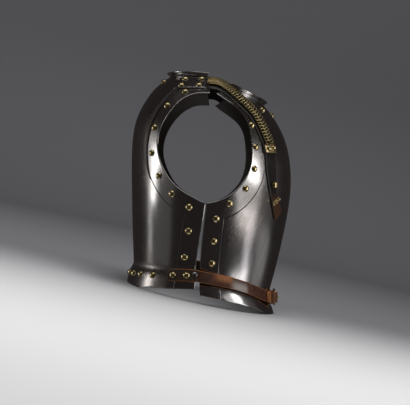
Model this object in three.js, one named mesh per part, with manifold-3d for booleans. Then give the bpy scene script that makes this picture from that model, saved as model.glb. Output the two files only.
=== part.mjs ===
// Cavalry cuirass: steel breastplate and backplate, shoulder straps under brass chain, waist belt.
// Millimetres, +Z up. The breastplate faces -Y and the wearer's right side is -X.
// It stands by itself on the point of the breastplate's lower rim and on the backplate's rim.
import * as THREE from 'three';
import { mergeGeometries, mergeVertices } from 'three/addons/utils/BufferGeometryUtils.js';
import Module from 'manifold-3d';

const wasm = await Module();
wasm.setup();

// Torso: every height on the plates is a share of TORSO_HEIGHT, measured from the armholes' lowest point
const TORSO_HEIGHT = 400;
const HALF_WIDTH = 173.5;
const FRONT_DEPTH = 167;
const BACK_DEPTH = 142;
const FRONT_ROUNDNESS = 1.6;
const BACK_ROUNDNESS = 2.08;

// Plates
const BREAST_WALL = 2.6;
const BACK_WALL = 2.2;
const BORDER_WIDTH = 37;
const GROOVE_WIDTH = 1.6;
const GROOVE_DEPTH = 0.6;
const SEAM_GAP_TOP = 0.8;
const SEAM_GAP_WAIST = 8;
const FLANGE_FLARE = 13;
const COLLAR_HEIGHT = 6.5;
const COLLAR_FLARE = 6;
const FOOT_TRIM = 1;

// Rivets and studs
const RIVET_RADIUS = 6.2;
const RIVET_HEIGHT = 4.6;
const STUD_RADIUS = 6.5;
const STUD_HEIGHT = 8;
const KNOB_RADIUS = 5.2;
const KNOB_HEIGHT = 5;
const SMALL_KNOB_RADIUS = 4;
const SEAM_STUD_RADIUS = 4.8;
const SEAM_STUD_HEIGHT = 2.6;
const SEAM_STUD_RAISED = 2.5;
const ROUND_SIDES = 8;

// Shoulder straps
const STRAP_WIDTH = 33;
const STRAP_THICKNESS = 2.8;
const CHAIN_WIDTH = 25;
const CHAIN_THICKNESS = 4.6;
const END_PLATE_THICKNESS = 2.2;
const BACK_PLATE_WIDTH = 37;
const FRONT_PLATE_WIDTH = 31;
const FRONT_PLATE_LENGTH = 17;
const TIP_BAR_WIDTH = 21;
const TIP_BAR_LENGTH = 7.5;
const CHAIN_START = 0.8;
const CHAIN_SHORT_OF_PLATE = 3;

// Belt
const BELT_WIDTH = 21;
const BELT_THICKNESS = 2.6;
const BUCKLE_LENGTH = 30;
const BUCKLE_HEIGHT = 31;
const BUCKLE_BAR = 4;
const PRONG_WIDTH = 3.2;
const PRONG_THICKNESS = 2.6;
const KEEPER_LENGTH = 9;
const KEEPER_WALL = 1.6;
const KEEPER_FROM_MIDDLE = 34;
const BELT_TIP_FROM_MIDDLE = 54;
const BELT_END_ROUND = 12;
const BELT_END_BEFORE_BAR = 3;
const BELT_FALL_START = 1;
const BELT_FALL_LENGTH = 10;
const KEEPER_ROOM_TO = 45;
const KEEPER_ROOM_GONE = 70;
const SEAM_STEP = 5;
const BACK_STEP = 0.8;

// Clearance between touching pieces, and how deep fused rivets sink in
const SEAT_GAP = 0.4;
const STRAP_LIFT = 0.65;
const STRAP_CLEARANCE = 0.6;
const SINK = 1;

const QUARTER = Math.PI / 2;

// Steps of the numeric tangents and of a walk over a surface
const TURN_STEP = 1e-3;
const HEIGHT_STEP = 0.5;
const WALK_STEP = 8;

// Horizontal sections of the torso: height in TORSO_HEIGHT, half width in HALF_WIDTH, reach of the
// front in FRONT_DEPTH, reach of the back and place of the side line in BACK_DEPTH
const SECTIONS = [
  { height: -0.475, width: 0.801, front: 0.722, back: 0.968, side: 0.100 },
  { height: -0.300, width: 0.842, front: 0.838, back: 0.975, side: 0.094 },
  { height: -0.125, width: 0.945, front: 0.933, back: 0.990, side: 0.034 },
  { height: 0.050, width: 1.000, front: 0.998, back: 0.999, side: -0.026 },
  { height: 0.190, width: 0.968, front: 0.992, back: 1.002, side: -0.044 },
  { height: 0.3125, width: 0.905, front: 0.923, back: 0.986, side: -0.056 },
  { height: 0.420, width: 0.813, front: 0.781, back: 0.915, side: -0.063 },
  { height: 0.500, width: 0.680, front: 0.605, back: 0.792, side: -0.067 },
  { height: 0.565, width: 0.507, front: 0.395, back: 0.637, side: -0.069 },
  { height: 0.615, width: 0.346, front: 0.216, back: 0.444, side: -0.070 },
];

// Waist crease, lower rim and neckline by turn from the middle line (0) to the side line (1), heights
// in TORSO_HEIGHT
const BREAST_LINES = [
  { turn: 0.00, crease: -0.4700, rim: -0.5435, neck: 0.4660 },
  { turn: 0.17, crease: -0.4660, rim: -0.5390, neck: 0.4710 },
  { turn: 0.34, crease: -0.4490, rim: -0.5230, neck: 0.4830 },
  { turn: 0.51, crease: -0.4180, rim: -0.4920, neck: 0.5060 },
  { turn: 0.70, crease: -0.3840, rim: -0.4600, neck: 0.5450 },
  { turn: 1.00, crease: -0.3430, rim: -0.4150, neck: 0.5850 },
];
const BACK_LINES = [
  { turn: 0.00, crease: -0.2875, rim: -0.3830, neck: 0.6080 },
  { turn: 0.17, crease: -0.2880, rim: -0.3860, neck: 0.6075 },
  { turn: 0.34, crease: -0.2900, rim: -0.3920, neck: 0.6055 },
  { turn: 0.51, crease: -0.2930, rim: -0.3880, neck: 0.6030 },
  { turn: 0.70, crease: -0.2970, rim: -0.3880, neck: 0.5985 },
  { turn: 1.00, crease: -0.3030, rim: -0.3910, neck: 0.5860 },
];

// Armhole edge seen from the side, from its lowest point up to the shoulder: forward reach in
// FRONT_DEPTH or backward reach in BACK_DEPTH, height in TORSO_HEIGHT
const BREAST_ARMHOLE = [
  { reach: 0.160, height: 0.0090 },
  { reach: 0.299, height: 0.0415 },
  { reach: 0.410, height: 0.0900 },
  { reach: 0.482, height: 0.1500 },
  { reach: 0.509, height: 0.2250 },
  { reach: 0.500, height: 0.3000 },
  { reach: 0.461, height: 0.3700 },
  { reach: 0.372, height: 0.4200 },
  { reach: 0.250, height: 0.4580 },
  { reach: 0.126, height: 0.4950 },
];
const BACK_ARMHOLE = [
  { reach: 0.155, height: 0.0225 },
  { reach: 0.303, height: 0.0550 },
  { reach: 0.437, height: 0.1010 },
  { reach: 0.535, height: 0.1600 },
  { reach: 0.599, height: 0.2300 },
  { reach: 0.602, height: 0.2900 },
  { reach: 0.549, height: 0.3550 },
  { reach: 0.437, height: 0.4200 },
  { reach: 0.282, height: 0.4710 },
  { reach: 0.127, height: 0.4950 },
  { reach: -0.056, height: 0.4975 },
];
const ARMHOLE_LOW = -0.006;
const BREAST_NECK_CORNER = 0.665;
const BACK_NECK_CORNER = 0.96;

// Profiles of the turned rims: share of the height against share of the flare
const FLANGE_PROFILE = [
  { along: 0.00, flare: 0.00 },
  { along: 0.12, flare: 0.09 },
  { along: 0.32, flare: 0.42 },
  { along: 0.55, flare: 0.68 },
  { along: 0.78, flare: 0.86 },
  { along: 1.00, flare: 1.00 },
];
const COLLAR_PROFILE = [
  { along: 0.00, flare: 0.00 },
  { along: 0.45, flare: 0.15 },
  { along: 0.80, flare: 0.45 },
  { along: 1.00, flare: 1.00 },
];

// Centre line of a shoulder strap from the back plate to its tip: turn from the middle of the breast
// (0) past the side line (1) to the middle of the back (2), height in TORSO_HEIGHT, width in STRAP_WIDTH
const STRAP_ROUTE = [
  { turn: 1.022, height: 0.551, width: 1.00 },
  { turn: 0.872, height: 0.546, width: 1.00 },
  { turn: 0.771, height: 0.527, width: 1.00 },
  { turn: 0.696, height: 0.494, width: 1.00 },
  { turn: 0.639, height: 0.461, width: 1.00 },
  { turn: 0.584, height: 0.425, width: 0.96 },
  { turn: 0.545, height: 0.379, width: 0.94 },
  { turn: 0.525, height: 0.325, width: 0.94 },
  { turn: 0.501, height: 0.268, width: 0.92 },
  { turn: 0.493, height: 0.220, width: 0.80 },
  { turn: 0.494, height: 0.150, width: 0.74 },
  { turn: 0.484, height: 0.095, width: 0.62 },
  { turn: 0.468, height: 0.050, width: 0.50 },
  { turn: 0.440, height: 0.010, width: 0.54 },
  { turn: 0.385, height: -0.040, width: 0.74 },
  { turn: 0.355, height: -0.064, width: 0.84 },
];
const STRAP_STEPS = 32;
const CHAIN_STEPS = 24;
const BACK_PLATE_STEPS = 8;
const KNOBBED_PLATE_STEPS = 4;
const ROUTE_STEP = 0.002;
const CHAIN_END = 0.612;
const STUD_AT = 0.806;
const TIP_BAR_AT = 0.896;
// Rivets of the strap's back plate: shares of its length, and of its half width
const BACK_PLATE_RIVETS = { along: [0.22, 0.80], across: [-0.58, 0.58] };
const BACK_PLATE_ROUTE = [
  { turn: 1.400, height: 0.556 },
  { turn: 1.220, height: 0.556 },
  { turn: 1.036, height: 0.551 },
];

// Border rivets: how many, the shares of the rivet line where the first and last sit, and that line's
// place on the border at the side, low on the armhole and at its top, from the groove (0) to the edge (1)
const BREAST_RIVETS = { count: 8, first: 0.075, last: 0.76, side: 0.42, arm: 0.6, top: 0.9 };
const BACK_RIVETS = { count: 9, first: 0.043, last: 0.862, side: 0.4, arm: 0.52, top: 0.52 };

// Neck and flange rivets of each plate: turn from the middle line, height in TORSO_HEIGHT
const BREAST_FUSED_RIVETS = [
  { turn: 0.00, height: 0.421 },
  { turn: 0.34, height: 0.436 },
];
const BACK_FUSED_RIVETS = [
  { turn: 0.20, height: 0.578 },
  { turn: 0.120, height: -0.335 },
  { turn: 0.262, height: -0.335 },
  { turn: 0.405, height: -0.335 },
  { turn: 0.572, height: -0.335 },
];
const BELT_RIVET_TURNS = [0.785, 0.905];
const SEAM_STUD_TURN = 0.978;
const BELT_END_TURN = 0.735;
const BELT_RIVET_HEIGHT = -0.329;
const BELT_OVER_CREASE = 3.5;
const BELT_STEPS = { right: 38, left: 44 };
// Turns between which the belt goes over to the back flange, and between which it steps off for the seam
const BELT_CROSSING = { from: 0.96, to: 1.12 };
const BELT_STEPPING = { from: 0.84, to: 0.99 };
// Heights, as shares of the belt's half width, at which the belt is tested against the plate
const BELT_TEST_SHARES = [-1.25, -0.75, -0.5, -0.25, 0, 0.25, 0.5, 0.75, 1.25];
// Share of the width that a round belt end loses, squared
const BELT_END_LOSS = 0.8;

// Colours of the materials
const STEEL = new THREE.MeshStandardMaterial({ color: 0x8d8c90, roughness: 0.25, metalness: 1 });
const BRASS = new THREE.MeshStandardMaterial({ color: 0xb39a55, roughness: 0.3, metalness: 1 });
const BLACK_LEATHER = new THREE.MeshStandardMaterial({ color: 0x26221f, roughness: 0.6, metalness: 0 });
const BROWN_LEATHER = new THREE.MeshStandardMaterial({ color: 0x6a3a22, roughness: 0.6, metalness: 0 });

// Natural cubic spline through the points (xs, ys), straight beyond its ends
function spline(xs, ys) {
  const last = xs.length - 1;
  const bend = new Array(last + 1).fill(0);
  const upper = new Array(last + 1).fill(0);
  for (let i = 1; i < last; i += 1) {
    const before = xs[i] - xs[i - 1];
    const after = xs[i + 1] - xs[i];
    const pull = 6 * ((ys[i + 1] - ys[i]) / after - (ys[i] - ys[i - 1]) / before);
    const pivot = 2 * (before + after) - before * upper[i - 1];
    upper[i] = after / pivot;
    bend[i] = (pull - before * bend[i - 1]) / pivot;
  }
  for (let i = last - 1; i > 0; i -= 1) bend[i] -= upper[i] * bend[i + 1];
  const inside = (x, i) => {
    const step = xs[i + 1] - xs[i];
    const a = (xs[i + 1] - x) / step;
    const b = 1 - a;
    const curve = ((a ** 3 - a) * bend[i] + (b ** 3 - b) * bend[i + 1]) * step * step / 6;
    return a * ys[i] + b * ys[i + 1] + curve;
  };
  const slopeStep = 1e-4 * (xs[last] - xs[0]);
  return (x) => {
    if (x < xs[0]) {
      return ys[0] - (xs[0] - x) * (inside(xs[0] + slopeStep, 0) - ys[0]) / slopeStep;
    }
    if (x > xs[last]) {
      return ys[last] + (x - xs[last]) * (ys[last] - inside(xs[last] - slopeStep, last - 1)) / slopeStep;
    }
    let i = 0;
    while (i < last - 1 && x > xs[i + 1]) i += 1;
    return inside(x, i);
  };
}

// Spline of one column of a table against another, both scaled to real sizes
function column(rows, key, keyScale, name, scale) {
  return spline(rows.map((row) => row[key] * keyScale), rows.map((row) => row[name] * scale));
}

const widthAt = column(SECTIONS, 'height', TORSO_HEIGHT, 'width', HALF_WIDTH);
const frontAt = column(SECTIONS, 'height', TORSO_HEIGHT, 'front', FRONT_DEPTH);
const backAt = column(SECTIONS, 'height', TORSO_HEIGHT, 'back', BACK_DEPTH);
const sideAt = column(SECTIONS, 'height', TORSO_HEIGHT, 'side', BACK_DEPTH);
const flangeFlare = column(FLANGE_PROFILE, 'along', 1, 'flare', 1);
const collarFlare = column(COLLAR_PROFILE, 'along', 1, 'flare', 1);

// The two plates. A turn runs from 0 at the middle of the breast over a quarter turn at the side line
// to a half turn at the middle of the back, on the wearer's right side
const lineOf = (rows, name) => column(rows, 'turn', QUARTER, name, TORSO_HEIGHT);
const BREAST = {
  sign: -1,
  wall: BREAST_WALL,
  depth: FRONT_DEPTH,
  crease: lineOf(BREAST_LINES, 'crease'),
  rim: lineOf(BREAST_LINES, 'rim'),
  neck: lineOf(BREAST_LINES, 'neck'),
  armhole: BREAST_ARMHOLE,
  neckCorner: BREAST_NECK_CORNER * QUARTER,
};
const BACK = {
  sign: 1,
  wall: BACK_WALL,
  depth: BACK_DEPTH,
  crease: lineOf(BACK_LINES, 'crease'),
  rim: lineOf(BACK_LINES, 'rim'),
  neck: lineOf(BACK_LINES, 'neck'),
  armhole: BACK_ARMHOLE,
  neckCorner: BACK_NECK_CORNER * QUARTER,
};

// Point of the torso's skin: superellipse sections, soft-ridged in front and rounder behind
function skin(turn, z) {
  const front = turn < QUARTER;
  const reach = front ? -frontAt(z) : backAt(z);
  const power = 2 / (front ? FRONT_ROUNDNESS : BACK_ROUNDNESS);
  const across = Math.sin(turn);
  const x = -Math.sign(across) * widthAt(z) * Math.abs(across) ** power;
  const y = sideAt(z) + (reach - sideAt(z)) * Math.abs(Math.cos(turn));
  return new THREE.Vector3(Math.abs(across) < 1e-9 ? 0 : x, y, z);
}

// Turn of the skin point that has this y at this height
function turnAt(plate, y, z) {
  const reach = plate.sign < 0 ? -frontAt(z) : backAt(z);
  const share = THREE.MathUtils.clamp((y - sideAt(z)) / (reach - sideAt(z)), -1, 1);
  return plate.sign < 0 ? Math.acos(share) : Math.PI - Math.acos(share);
}

// Tangents and outward normal of any surface given by turn and height
function frameOf(surface, turn, z) {
  const along = surface(turn + TURN_STEP, z).sub(surface(turn - TURN_STEP, z)).divideScalar(2 * TURN_STEP);
  const up = surface(turn, z + HEIGHT_STEP).sub(surface(turn, z - HEIGHT_STEP)).divideScalar(2 * HEIGHT_STEP);
  const normal = new THREE.Vector3().crossVectors(up, along).normalize();
  return { along, up, normal };
}

// Walks a given distance over a surface in a given direction, in short steps
function walk(surface, turn, z, direction, distance) {
  const steps = Math.max(1, Math.ceil(Math.abs(distance) / WALK_STEP));
  let at = { turn, z };
  for (let i = 0; i < steps; i += 1) {
    const { along, up } = frameOf(surface, at.turn, at.z);
    const a = along.dot(along);
    const b = along.dot(up);
    const c = up.dot(up);
    const p = along.dot(direction);
    const q = up.dot(direction);
    const det = a * c - b * b;
    const step = distance / steps;
    const dTurn = (c * p - b * q) / det;
    const dZ = (a * q - b * p) / det;
    const speed = along.clone().multiplyScalar(dTurn).addScaledVector(up, dZ).length();
    at = { turn: at.turn + dTurn * step / speed, z: at.z + dZ * step / speed };
  }
  return at;
}

// Horizontal outward direction of the skin
function outward(turn, z) {
  if (Math.abs(Math.sin(turn)) < 1e-6) return new THREE.Vector3(0, turn < QUARTER ? -1 : 1, 0);
  const { normal } = frameOf(skin, turn, z);
  return normal.setZ(0).normalize();
}

const plateOf = (turn) => (turn < QUARTER ? BREAST : BACK);
const localTurn = (turn) => (turn < QUARTER ? turn : Math.PI - turn);

// Outer surface of the plates with the flange below the waist crease
function outer(turn, z) {
  const plate = plateOf(turn);
  const crease = plate.crease(localTurn(turn));
  if (z >= crease) return skin(turn, z);
  const along = (crease - z) / (crease - plate.rim(localTurn(turn)));
  const flare = FLANGE_FLARE * flangeFlare(along);
  return skin(turn, crease).addScaledVector(outward(turn, crease), flare).setZ(z);
}

// Lines on a plate are lists of points { turn, z }. Length and place along such a line are measured
// with the turn taken at HALF_WIDTH
const flatLength = (a, b) => Math.hypot((a.turn - b.turn) * HALF_WIDTH, a.z - b.z);
const mix = (a, b, t) => ({ turn: a.turn + (b.turn - a.turn) * t, z: a.z + (b.z - a.z) * t });

function along(line, share) {
  const lengths = [0];
  for (let i = 1; i < line.length; i += 1) lengths.push(lengths[i - 1] + flatLength(line[i - 1], line[i]));
  const wanted = share * lengths[line.length - 1];
  let i = 1;
  while (i < line.length - 1 && lengths[i] < wanted) i += 1;
  return mix(line[i - 1], line[i], (wanted - lengths[i - 1]) / (lengths[i] - lengths[i - 1]));
}

// First crossing of two lines: the first line up to it, and the second line from it on
function meet(first, second) {
  for (let i = 1; i < first.length; i += 1) {
    for (let j = 1; j < second.length; j += 1) {
      const [a, b, c, d] = [first[i - 1], first[i], second[j - 1], second[j]];
      const det = (b.turn - a.turn) * (d.z - c.z) - (b.z - a.z) * (d.turn - c.turn);
      const s = ((c.turn - a.turn) * (d.z - c.z) - (c.z - a.z) * (d.turn - c.turn)) / det;
      const t = ((c.turn - a.turn) * (b.z - a.z) - (c.z - a.z) * (b.turn - a.turn)) / det;
      if (s >= 0 && s <= 1 && t >= 0 && t <= 1) {
        const at = mix(a, b, s);
        return { before: [...first.slice(0, i), at], after: [at, ...second.slice(j)] };
      }
    }
  }
  throw new Error('lines do not meet');
}

const range = (count, make) => Array.from({ length: count + 1 }, (unused, i) => make(i / count));

// Steps of the plates' lines, how far the inset lines run past the edges that they follow, as shares of
// those edges, and how far ahead along an edge its direction is taken
const LINE_STEPS = { side: 24, arm: 72 };
const SIDE_INSET = { from: -0.3, to: 1.3 };
const ARM_INSET = { from: -0.02, to: 1.18 };
const LOOK_AHEAD = 0.01;

// Edges and border lines of a plate on the wearer's right side
function outline(plate) {
  const corner = ARMHOLE_LOW * TORSO_HEIGHT;
  const waist = plate.crease(QUARTER);
  const gapAt = (z) => SEAM_GAP_TOP + (SEAM_GAP_WAIST - SEAM_GAP_TOP) * (corner - z) / (corner - waist);
  const sidePoint = (z) => ({ turn: turnAt(plate, sideAt(z) + plate.sign * gapAt(z) / 2, z), z });
  const points = [{ y: sideAt(corner) + plate.sign * gapAt(corner) / 2, z: corner }];
  for (const row of plate.armhole) {
    points.push({ y: plate.sign * row.reach * plate.depth, z: row.height * TORSO_HEIGHT });
  }
  const run = [0];
  for (let i = 1; i < points.length; i += 1) {
    run.push(run[i - 1] + Math.hypot(points[i].y - points[i - 1].y, points[i].z - points[i - 1].z));
  }
  const total = run[run.length - 1];
  const yOf = spline(run, points.map((point) => point.y));
  const zOf = spline(run, points.map((point) => point.z));
  const armPoint = (t) => ({ turn: turnAt(plate, yOf(t * total), zOf(t * total)), z: zOf(t * total) });

  const inset = (pointAt, t) => {
    const at = pointAt(t);
    const ahead = pointAt(t + LOOK_AHEAD);
    const { normal } = frameOf(skin, at.turn, at.z);
    const tangent = skin(ahead.turn, ahead.z).sub(skin(at.turn, at.z));
    const inward = new THREE.Vector3().crossVectors(normal, tangent).multiplyScalar(plate.sign);
    return walk(skin, at.turn, at.z, inward.normalize(), BORDER_WIDTH);
  };
  const sideLine = (t) => sidePoint(waist + (corner - waist) * t);
  const over = (reach, t) => reach.from + (reach.to - reach.from) * t;
  const sideInset = range(LINE_STEPS.side, (t) => inset(sideLine, over(SIDE_INSET, t)));
  const armInset = range(LINE_STEPS.arm, (t) => inset(armPoint, over(ARM_INSET, t)));
  const middle = plate.sign < 0 ? 0 : Math.PI;
  const toward = (turn) => middle - plate.sign * turn;
  const crease = range(LINE_STEPS.arm, (t) => ({ turn: toward(t * QUARTER), z: plate.crease(t * QUARTER) }));
  const neck = range(LINE_STEPS.side, (t) => {
    const turn = t * plate.neckCorner;
    return { turn: toward(turn), z: plate.neck(turn) };
  });
  const shoulder = [neck[neck.length - 1], armPoint(1)];
  const low = meet(crease, sideInset);
  const mitre = meet(low.after, armInset);
  const top = meet(mitre.after, shoulder);
  return {
    creaseInner: low.before,
    sideBorder: mitre.before,
    armBorder: top.before,
    shoulderInner: [neck[neck.length - 1], top.after[0]],
    neck,
    sideEdge: range(LINE_STEPS.side, sideLine),
    armEdge: range(LINE_STEPS.arm, armPoint),
  };
}

// Quads of a grid of points, as a geometry
function gridGeometry(rows) {
  const across = rows[0].length;
  const index = [];
  for (let j = 0; j < rows.length - 1; j += 1) {
    for (let i = 0; i < across - 1; i += 1) {
      const a = j * across + i;
      index.push(a, a + 1, a + across + 1, a, a + across + 1, a + across);
    }
  }
  const geometry = new THREE.BufferGeometry().setFromPoints(rows.flat());
  geometry.setIndex(index);
  return geometry;
}

const volumeOf = (geometry) => {
  const place = geometry.getAttribute('position');
  const index = geometry.getIndex();
  const [a, b, c] = [new THREE.Vector3(), new THREE.Vector3(), new THREE.Vector3()];
  let sum = 0;
  for (let i = 0; i < index.count; i += 3) {
    a.fromBufferAttribute(place, index.getX(i));
    b.fromBufferAttribute(place, index.getX(i + 1));
    c.fromBufferAttribute(place, index.getX(i + 2));
    sum += a.dot(b.cross(c));
  }
  return sum;
};

// Turns the faces of a geometry over
function turnedOver(geometry) {
  const index = geometry.getIndex().array;
  for (let i = 0; i < index.length; i += 3) [index[i], index[i + 1]] = [index[i + 1], index[i]];
  return geometry;
}

const outwardFaces = (geometry) => (volumeOf(geometry) > 0 ? geometry : turnedOver(geometry));

// Mirror image of a geometry in the middle plane
const mirrored = (geometry) => turnedOver(geometry.clone().scale(-1, 1, 1));

// Closed wall of even thickness behind an open outer surface
function wallBehind(surface, wall) {
  const merged = mergeVertices(surface, 1e-4);
  merged.computeVertexNormals();
  const place = merged.getAttribute('position');
  const normal = merged.getAttribute('normal');
  const count = place.count;
  const points = [];
  for (let i = 0; i < count; i += 1) points.push(new THREE.Vector3().fromBufferAttribute(place, i));
  for (let i = 0; i < count; i += 1) {
    const away = new THREE.Vector3().fromBufferAttribute(normal, i);
    if (Math.abs(points[i].x) < 1e-6) away.setX(0).normalize();
    points.push(points[i].clone().addScaledVector(away, -wall));
  }
  const source = merged.getIndex().array;
  const open = new Map();
  const index = [];
  for (let i = 0; i < source.length; i += 3) {
    const face = [source[i], source[i + 1], source[i + 2]];
    if (new Set(face).size < 3) continue;
    index.push(...face, face[0] + count, face[2] + count, face[1] + count);
    for (let k = 0; k < 3; k += 1) {
      const [from, to] = [face[k], face[(k + 1) % 3]];
      if (!open.delete(`${to} ${from}`)) open.set(`${from} ${to}`, [from, to]);
    }
  }
  for (const [from, to] of open.values()) {
    index.push(to, from, from + count, to, from + count, to + count);
  }
  const solid = new THREE.BufferGeometry().setFromPoints(points);
  solid.setIndex(index);
  return solid;
}

// Solid for a boolean, and back
function toManifold(geometry) {
  const plain = geometry.clone();
  plain.deleteAttribute('normal');
  plain.deleteAttribute('uv');
  const merged = mergeVertices(plain, 1e-4);
  const vertProperties = Float32Array.from(merged.getAttribute('position').array);
  const triVerts = Uint32Array.from(merged.getIndex().array);
  return new wasm.Manifold(new wasm.Mesh({ numProp: 3, vertProperties, triVerts }));
}

function fromManifold(solid) {
  const mesh = solid.getMesh();
  const geometry = new THREE.BufferGeometry();
  geometry.setAttribute('position', new THREE.BufferAttribute(mesh.vertProperties, 3));
  geometry.setIndex(Array.from(mesh.triVerts));
  return geometry;
}

const fused = (geometries) => fromManifold(geometries.map(toManifold).reduce((a, b) => a.add(b)));

// Plate half as grids: body with border and groove, flange below, collar above
const BODY_COLUMNS = 7;
const SHOULDER_COLUMNS = 2;
const SIDE_ROWS = 5;
const ARM_ROWS = 12;
const LIP_ROWS = 4;
const BORDER_SHARES = [0.5, 1];

function plateSurface(plate) {
  const lines = outline(plate);
  const border = [
    ...range(SIDE_ROWS, (t) => along(lines.sideBorder, t)),
    ...range(ARM_ROWS, (t) => along(lines.armBorder, t)).slice(1),
  ];
  const edge = [
    ...range(SIDE_ROWS, (t) => along(lines.sideEdge, t)),
    ...range(ARM_ROWS, (t) => along(lines.armEdge, t)).slice(1),
  ];
  const columns = BODY_COLUMNS + SHOULDER_COLUMNS;
  const bottom = range(columns, (t) => along(lines.creaseInner, t));
  const top = [
    ...range(BODY_COLUMNS, (t) => along(lines.neck, t)),
    ...range(SHOULDER_COLUMNS, (t) => along(lines.shoulderInner, t)).slice(1),
  ];
  const last = border.length - 1;
  const rise = border[last].z - border[0].z;
  const groove = GROOVE_WIDTH / BORDER_WIDTH;
  const rows = border.map((right, j) => {
    const v = (right.z - border[0].z) / rise;
    const left = mix(bottom[0], top[0], v);
    const row = [];
    for (let i = 0; i <= columns; i += 1) {
      const u = i / columns;
      const sides = mix(left, right, u);
      const ends = mix(bottom[i], top[i], v);
      const corners = mix(mix(bottom[0], bottom[columns], u), mix(top[0], top[columns], u), v);
      row.push({ turn: sides.turn + ends.turn - corners.turn, z: sides.z + ends.z - corners.z, sunk: 0 });
    }
    row.push({ ...mix(right, edge[j], groove / 2), sunk: GROOVE_DEPTH });
    for (const share of [groove, ...BORDER_SHARES]) row.push({ ...mix(right, edge[j], share), sunk: 0 });
    return row;
  });
  const pointOf = (at) => {
    const point = skin(at.turn, at.z);
    if (at.sunk > 0) point.addScaledVector(frameOf(skin, at.turn, at.z).normal, -at.sunk);
    return point;
  };
  // The crease runs on under the border, so the lowest row follows it to the side edge
  for (const at of rows[0]) at.z = plate.crease(localTurn(at.turn));
  const body = rows.map((row) => row.map(pointOf));
  const lip = (line, height, flare, profile) => range(LIP_ROWS, (t) => line.map((at) => {
    const point = pointOf(at);
    const out = outward(at.turn, at.z);
    return point.addScaledVector(out, flare * profile(t)).setZ(point.z + height(at) * t);
  }));
  const drop = (at) => plate.rim(localTurn(at.turn)) - plate.crease(localTurn(at.turn));
  const flange = lip(rows[0], drop, FLANGE_FLARE, flangeFlare);
  const neckRow = rows[last].slice(0, BODY_COLUMNS + 1);
  const collar = lip(neckRow, () => COLLAR_HEIGHT, COLLAR_FLARE, collarFlare);
  const half = mergeGeometries([
    gridGeometry(body),
    gridGeometry([...flange].reverse()),
    gridGeometry(collar),
  ]);
  return { half: plate.sign < 0 ? turnedOver(half) : half, border, edge };
}

// Angle by which the cuirass leans back when it stands on both rims, from the rims' middle points
const tipPoint = outer(0, BREAST.rim(0));
const heelPoint = outer(Math.PI, BACK.rim(0));
const LEAN = Math.atan2(heelPoint.z - tipPoint.z, heelPoint.y - tipPoint.y);
const floorHeight = (point) => point.z * Math.cos(LEAN) - point.y * Math.sin(LEAN);

// Files the lower rims flat where the cuirass stands
function trimmed(geometry) {
  const place = geometry.getAttribute('position');
  const point = new THREE.Vector3();
  const floor = floorHeight(tipPoint) + FOOT_TRIM;
  for (let i = 0; i < place.count; i += 1) {
    point.fromBufferAttribute(place, i);
    const lack = floor - floorHeight(point);
    if (lack > 0) {
      place.setXYZ(i, point.x, point.y - lack * Math.sin(LEAN), point.z + lack * Math.cos(LEAN));
    }
  }
  return geometry;
}

// Places a small solid made along +Z on a surface, its base a given lift above it
function seated(geometry, surface, turn, z, lift) {
  const { normal } = frameOf(surface, turn, z);
  const place = surface(turn, z).addScaledVector(normal, lift);
  const turned = new THREE.Quaternion().setFromUnitVectors(new THREE.Vector3(0, 0, 1), normal);
  return geometry.clone().applyQuaternion(turned).translate(place.x, place.y, place.z);
}

// Low dome, turned round +Z on a flat base
function dome(radius, height) {
  const profile = [[0, 0], [1, 0], [0.8, 0.66], [0, 1]];
  const points = profile.map(([r, h]) => new THREE.Vector2(r * radius, h * height));
  return solidOfRevolution(points);
}

// Waisted stud with a round head
function studShape(radius, height) {
  const profile = [[0, 0], [0.8, 0], [0.8, 0.2], [0.55, 0.4], [0.95, 0.62], [0.9, 0.85], [0.5, 1], [0, 1]];
  const points = profile.map(([r, h]) => new THREE.Vector2(r * radius, h * height));
  return solidOfRevolution(points);
}

function solidOfRevolution(points) {
  const lathe = new THREE.LatheGeometry(points, ROUND_SIDES).rotateX(QUARTER);
  lathe.deleteAttribute('normal');
  lathe.deleteAttribute('uv');
  const merged = mergeVertices(lathe, 1e-4);
  const source = merged.getIndex().array;
  const index = [];
  for (let i = 0; i < source.length; i += 3) {
    const face = [source[i], source[i + 1], source[i + 2]];
    if (new Set(face).size === 3) index.push(...face);
  }
  merged.setIndex(index);
  return outwardFaces(merged);
}

// Sweeps rings of points, one for each station, into a closed solid
function sweep(rings) {
  const count = rings[0].length;
  const index = [];
  for (let j = 0; j < rings.length - 1; j += 1) {
    for (let i = 0; i < count; i += 1) {
      const a = j * count + i;
      const b = j * count + ((i + 1) % count);
      index.push(a, b, b + count, a, b + count, a + count);
    }
  }
  const ends = (rings.length - 1) * count;
  for (let i = 1; i < count - 1; i += 1) {
    index.push(0, i + 1, i);
    index.push(ends, ends + i, ends + i + 1);
  }
  const geometry = new THREE.BufferGeometry().setFromPoints(rings.flat());
  geometry.setIndex(index);
  return outwardFaces(geometry);
}

// Ring of a band that lies on a surface: its points at shares across a width, each lifted along the
// normal. The shape lists { across, lift } counter-clockwise
function bandRing(surface, at, next, width, shape) {
  const { normal } = frameOf(surface, at.turn, at.z);
  const tangent = surface(next.turn, next.z).sub(surface(at.turn, at.z));
  const direction = new THREE.Vector3().crossVectors(normal, tangent).normalize();
  return shape.map(({ across, lift }) => {
    const foot = walk(surface, at.turn, at.z, direction, across * width / 2);
    const up = frameOf(surface, foot.turn, foot.z).normal;
    return surface(foot.turn, foot.z).addScaledVector(up, lift);
  });
}

// Cross-section of a band from one lift to another, with optional ridges on its top side
function bandShape(from, to, ridge = 0, below = [-1, 0, 1]) {
  const across = ridge > 0 ? [-1, -0.75, -0.3, 0, 0.3, 0.75, 1] : [-1, 0, 1];
  const crown = (a) => ridge * Math.sin(Math.PI * Math.abs(a));
  const under = below.map((a) => ({ across: a, lift: from }));
  const over = [...across].reverse().map((a) => ({ across: a, lift: to + crown(a) }));
  return [...under, ...over];
}

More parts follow.
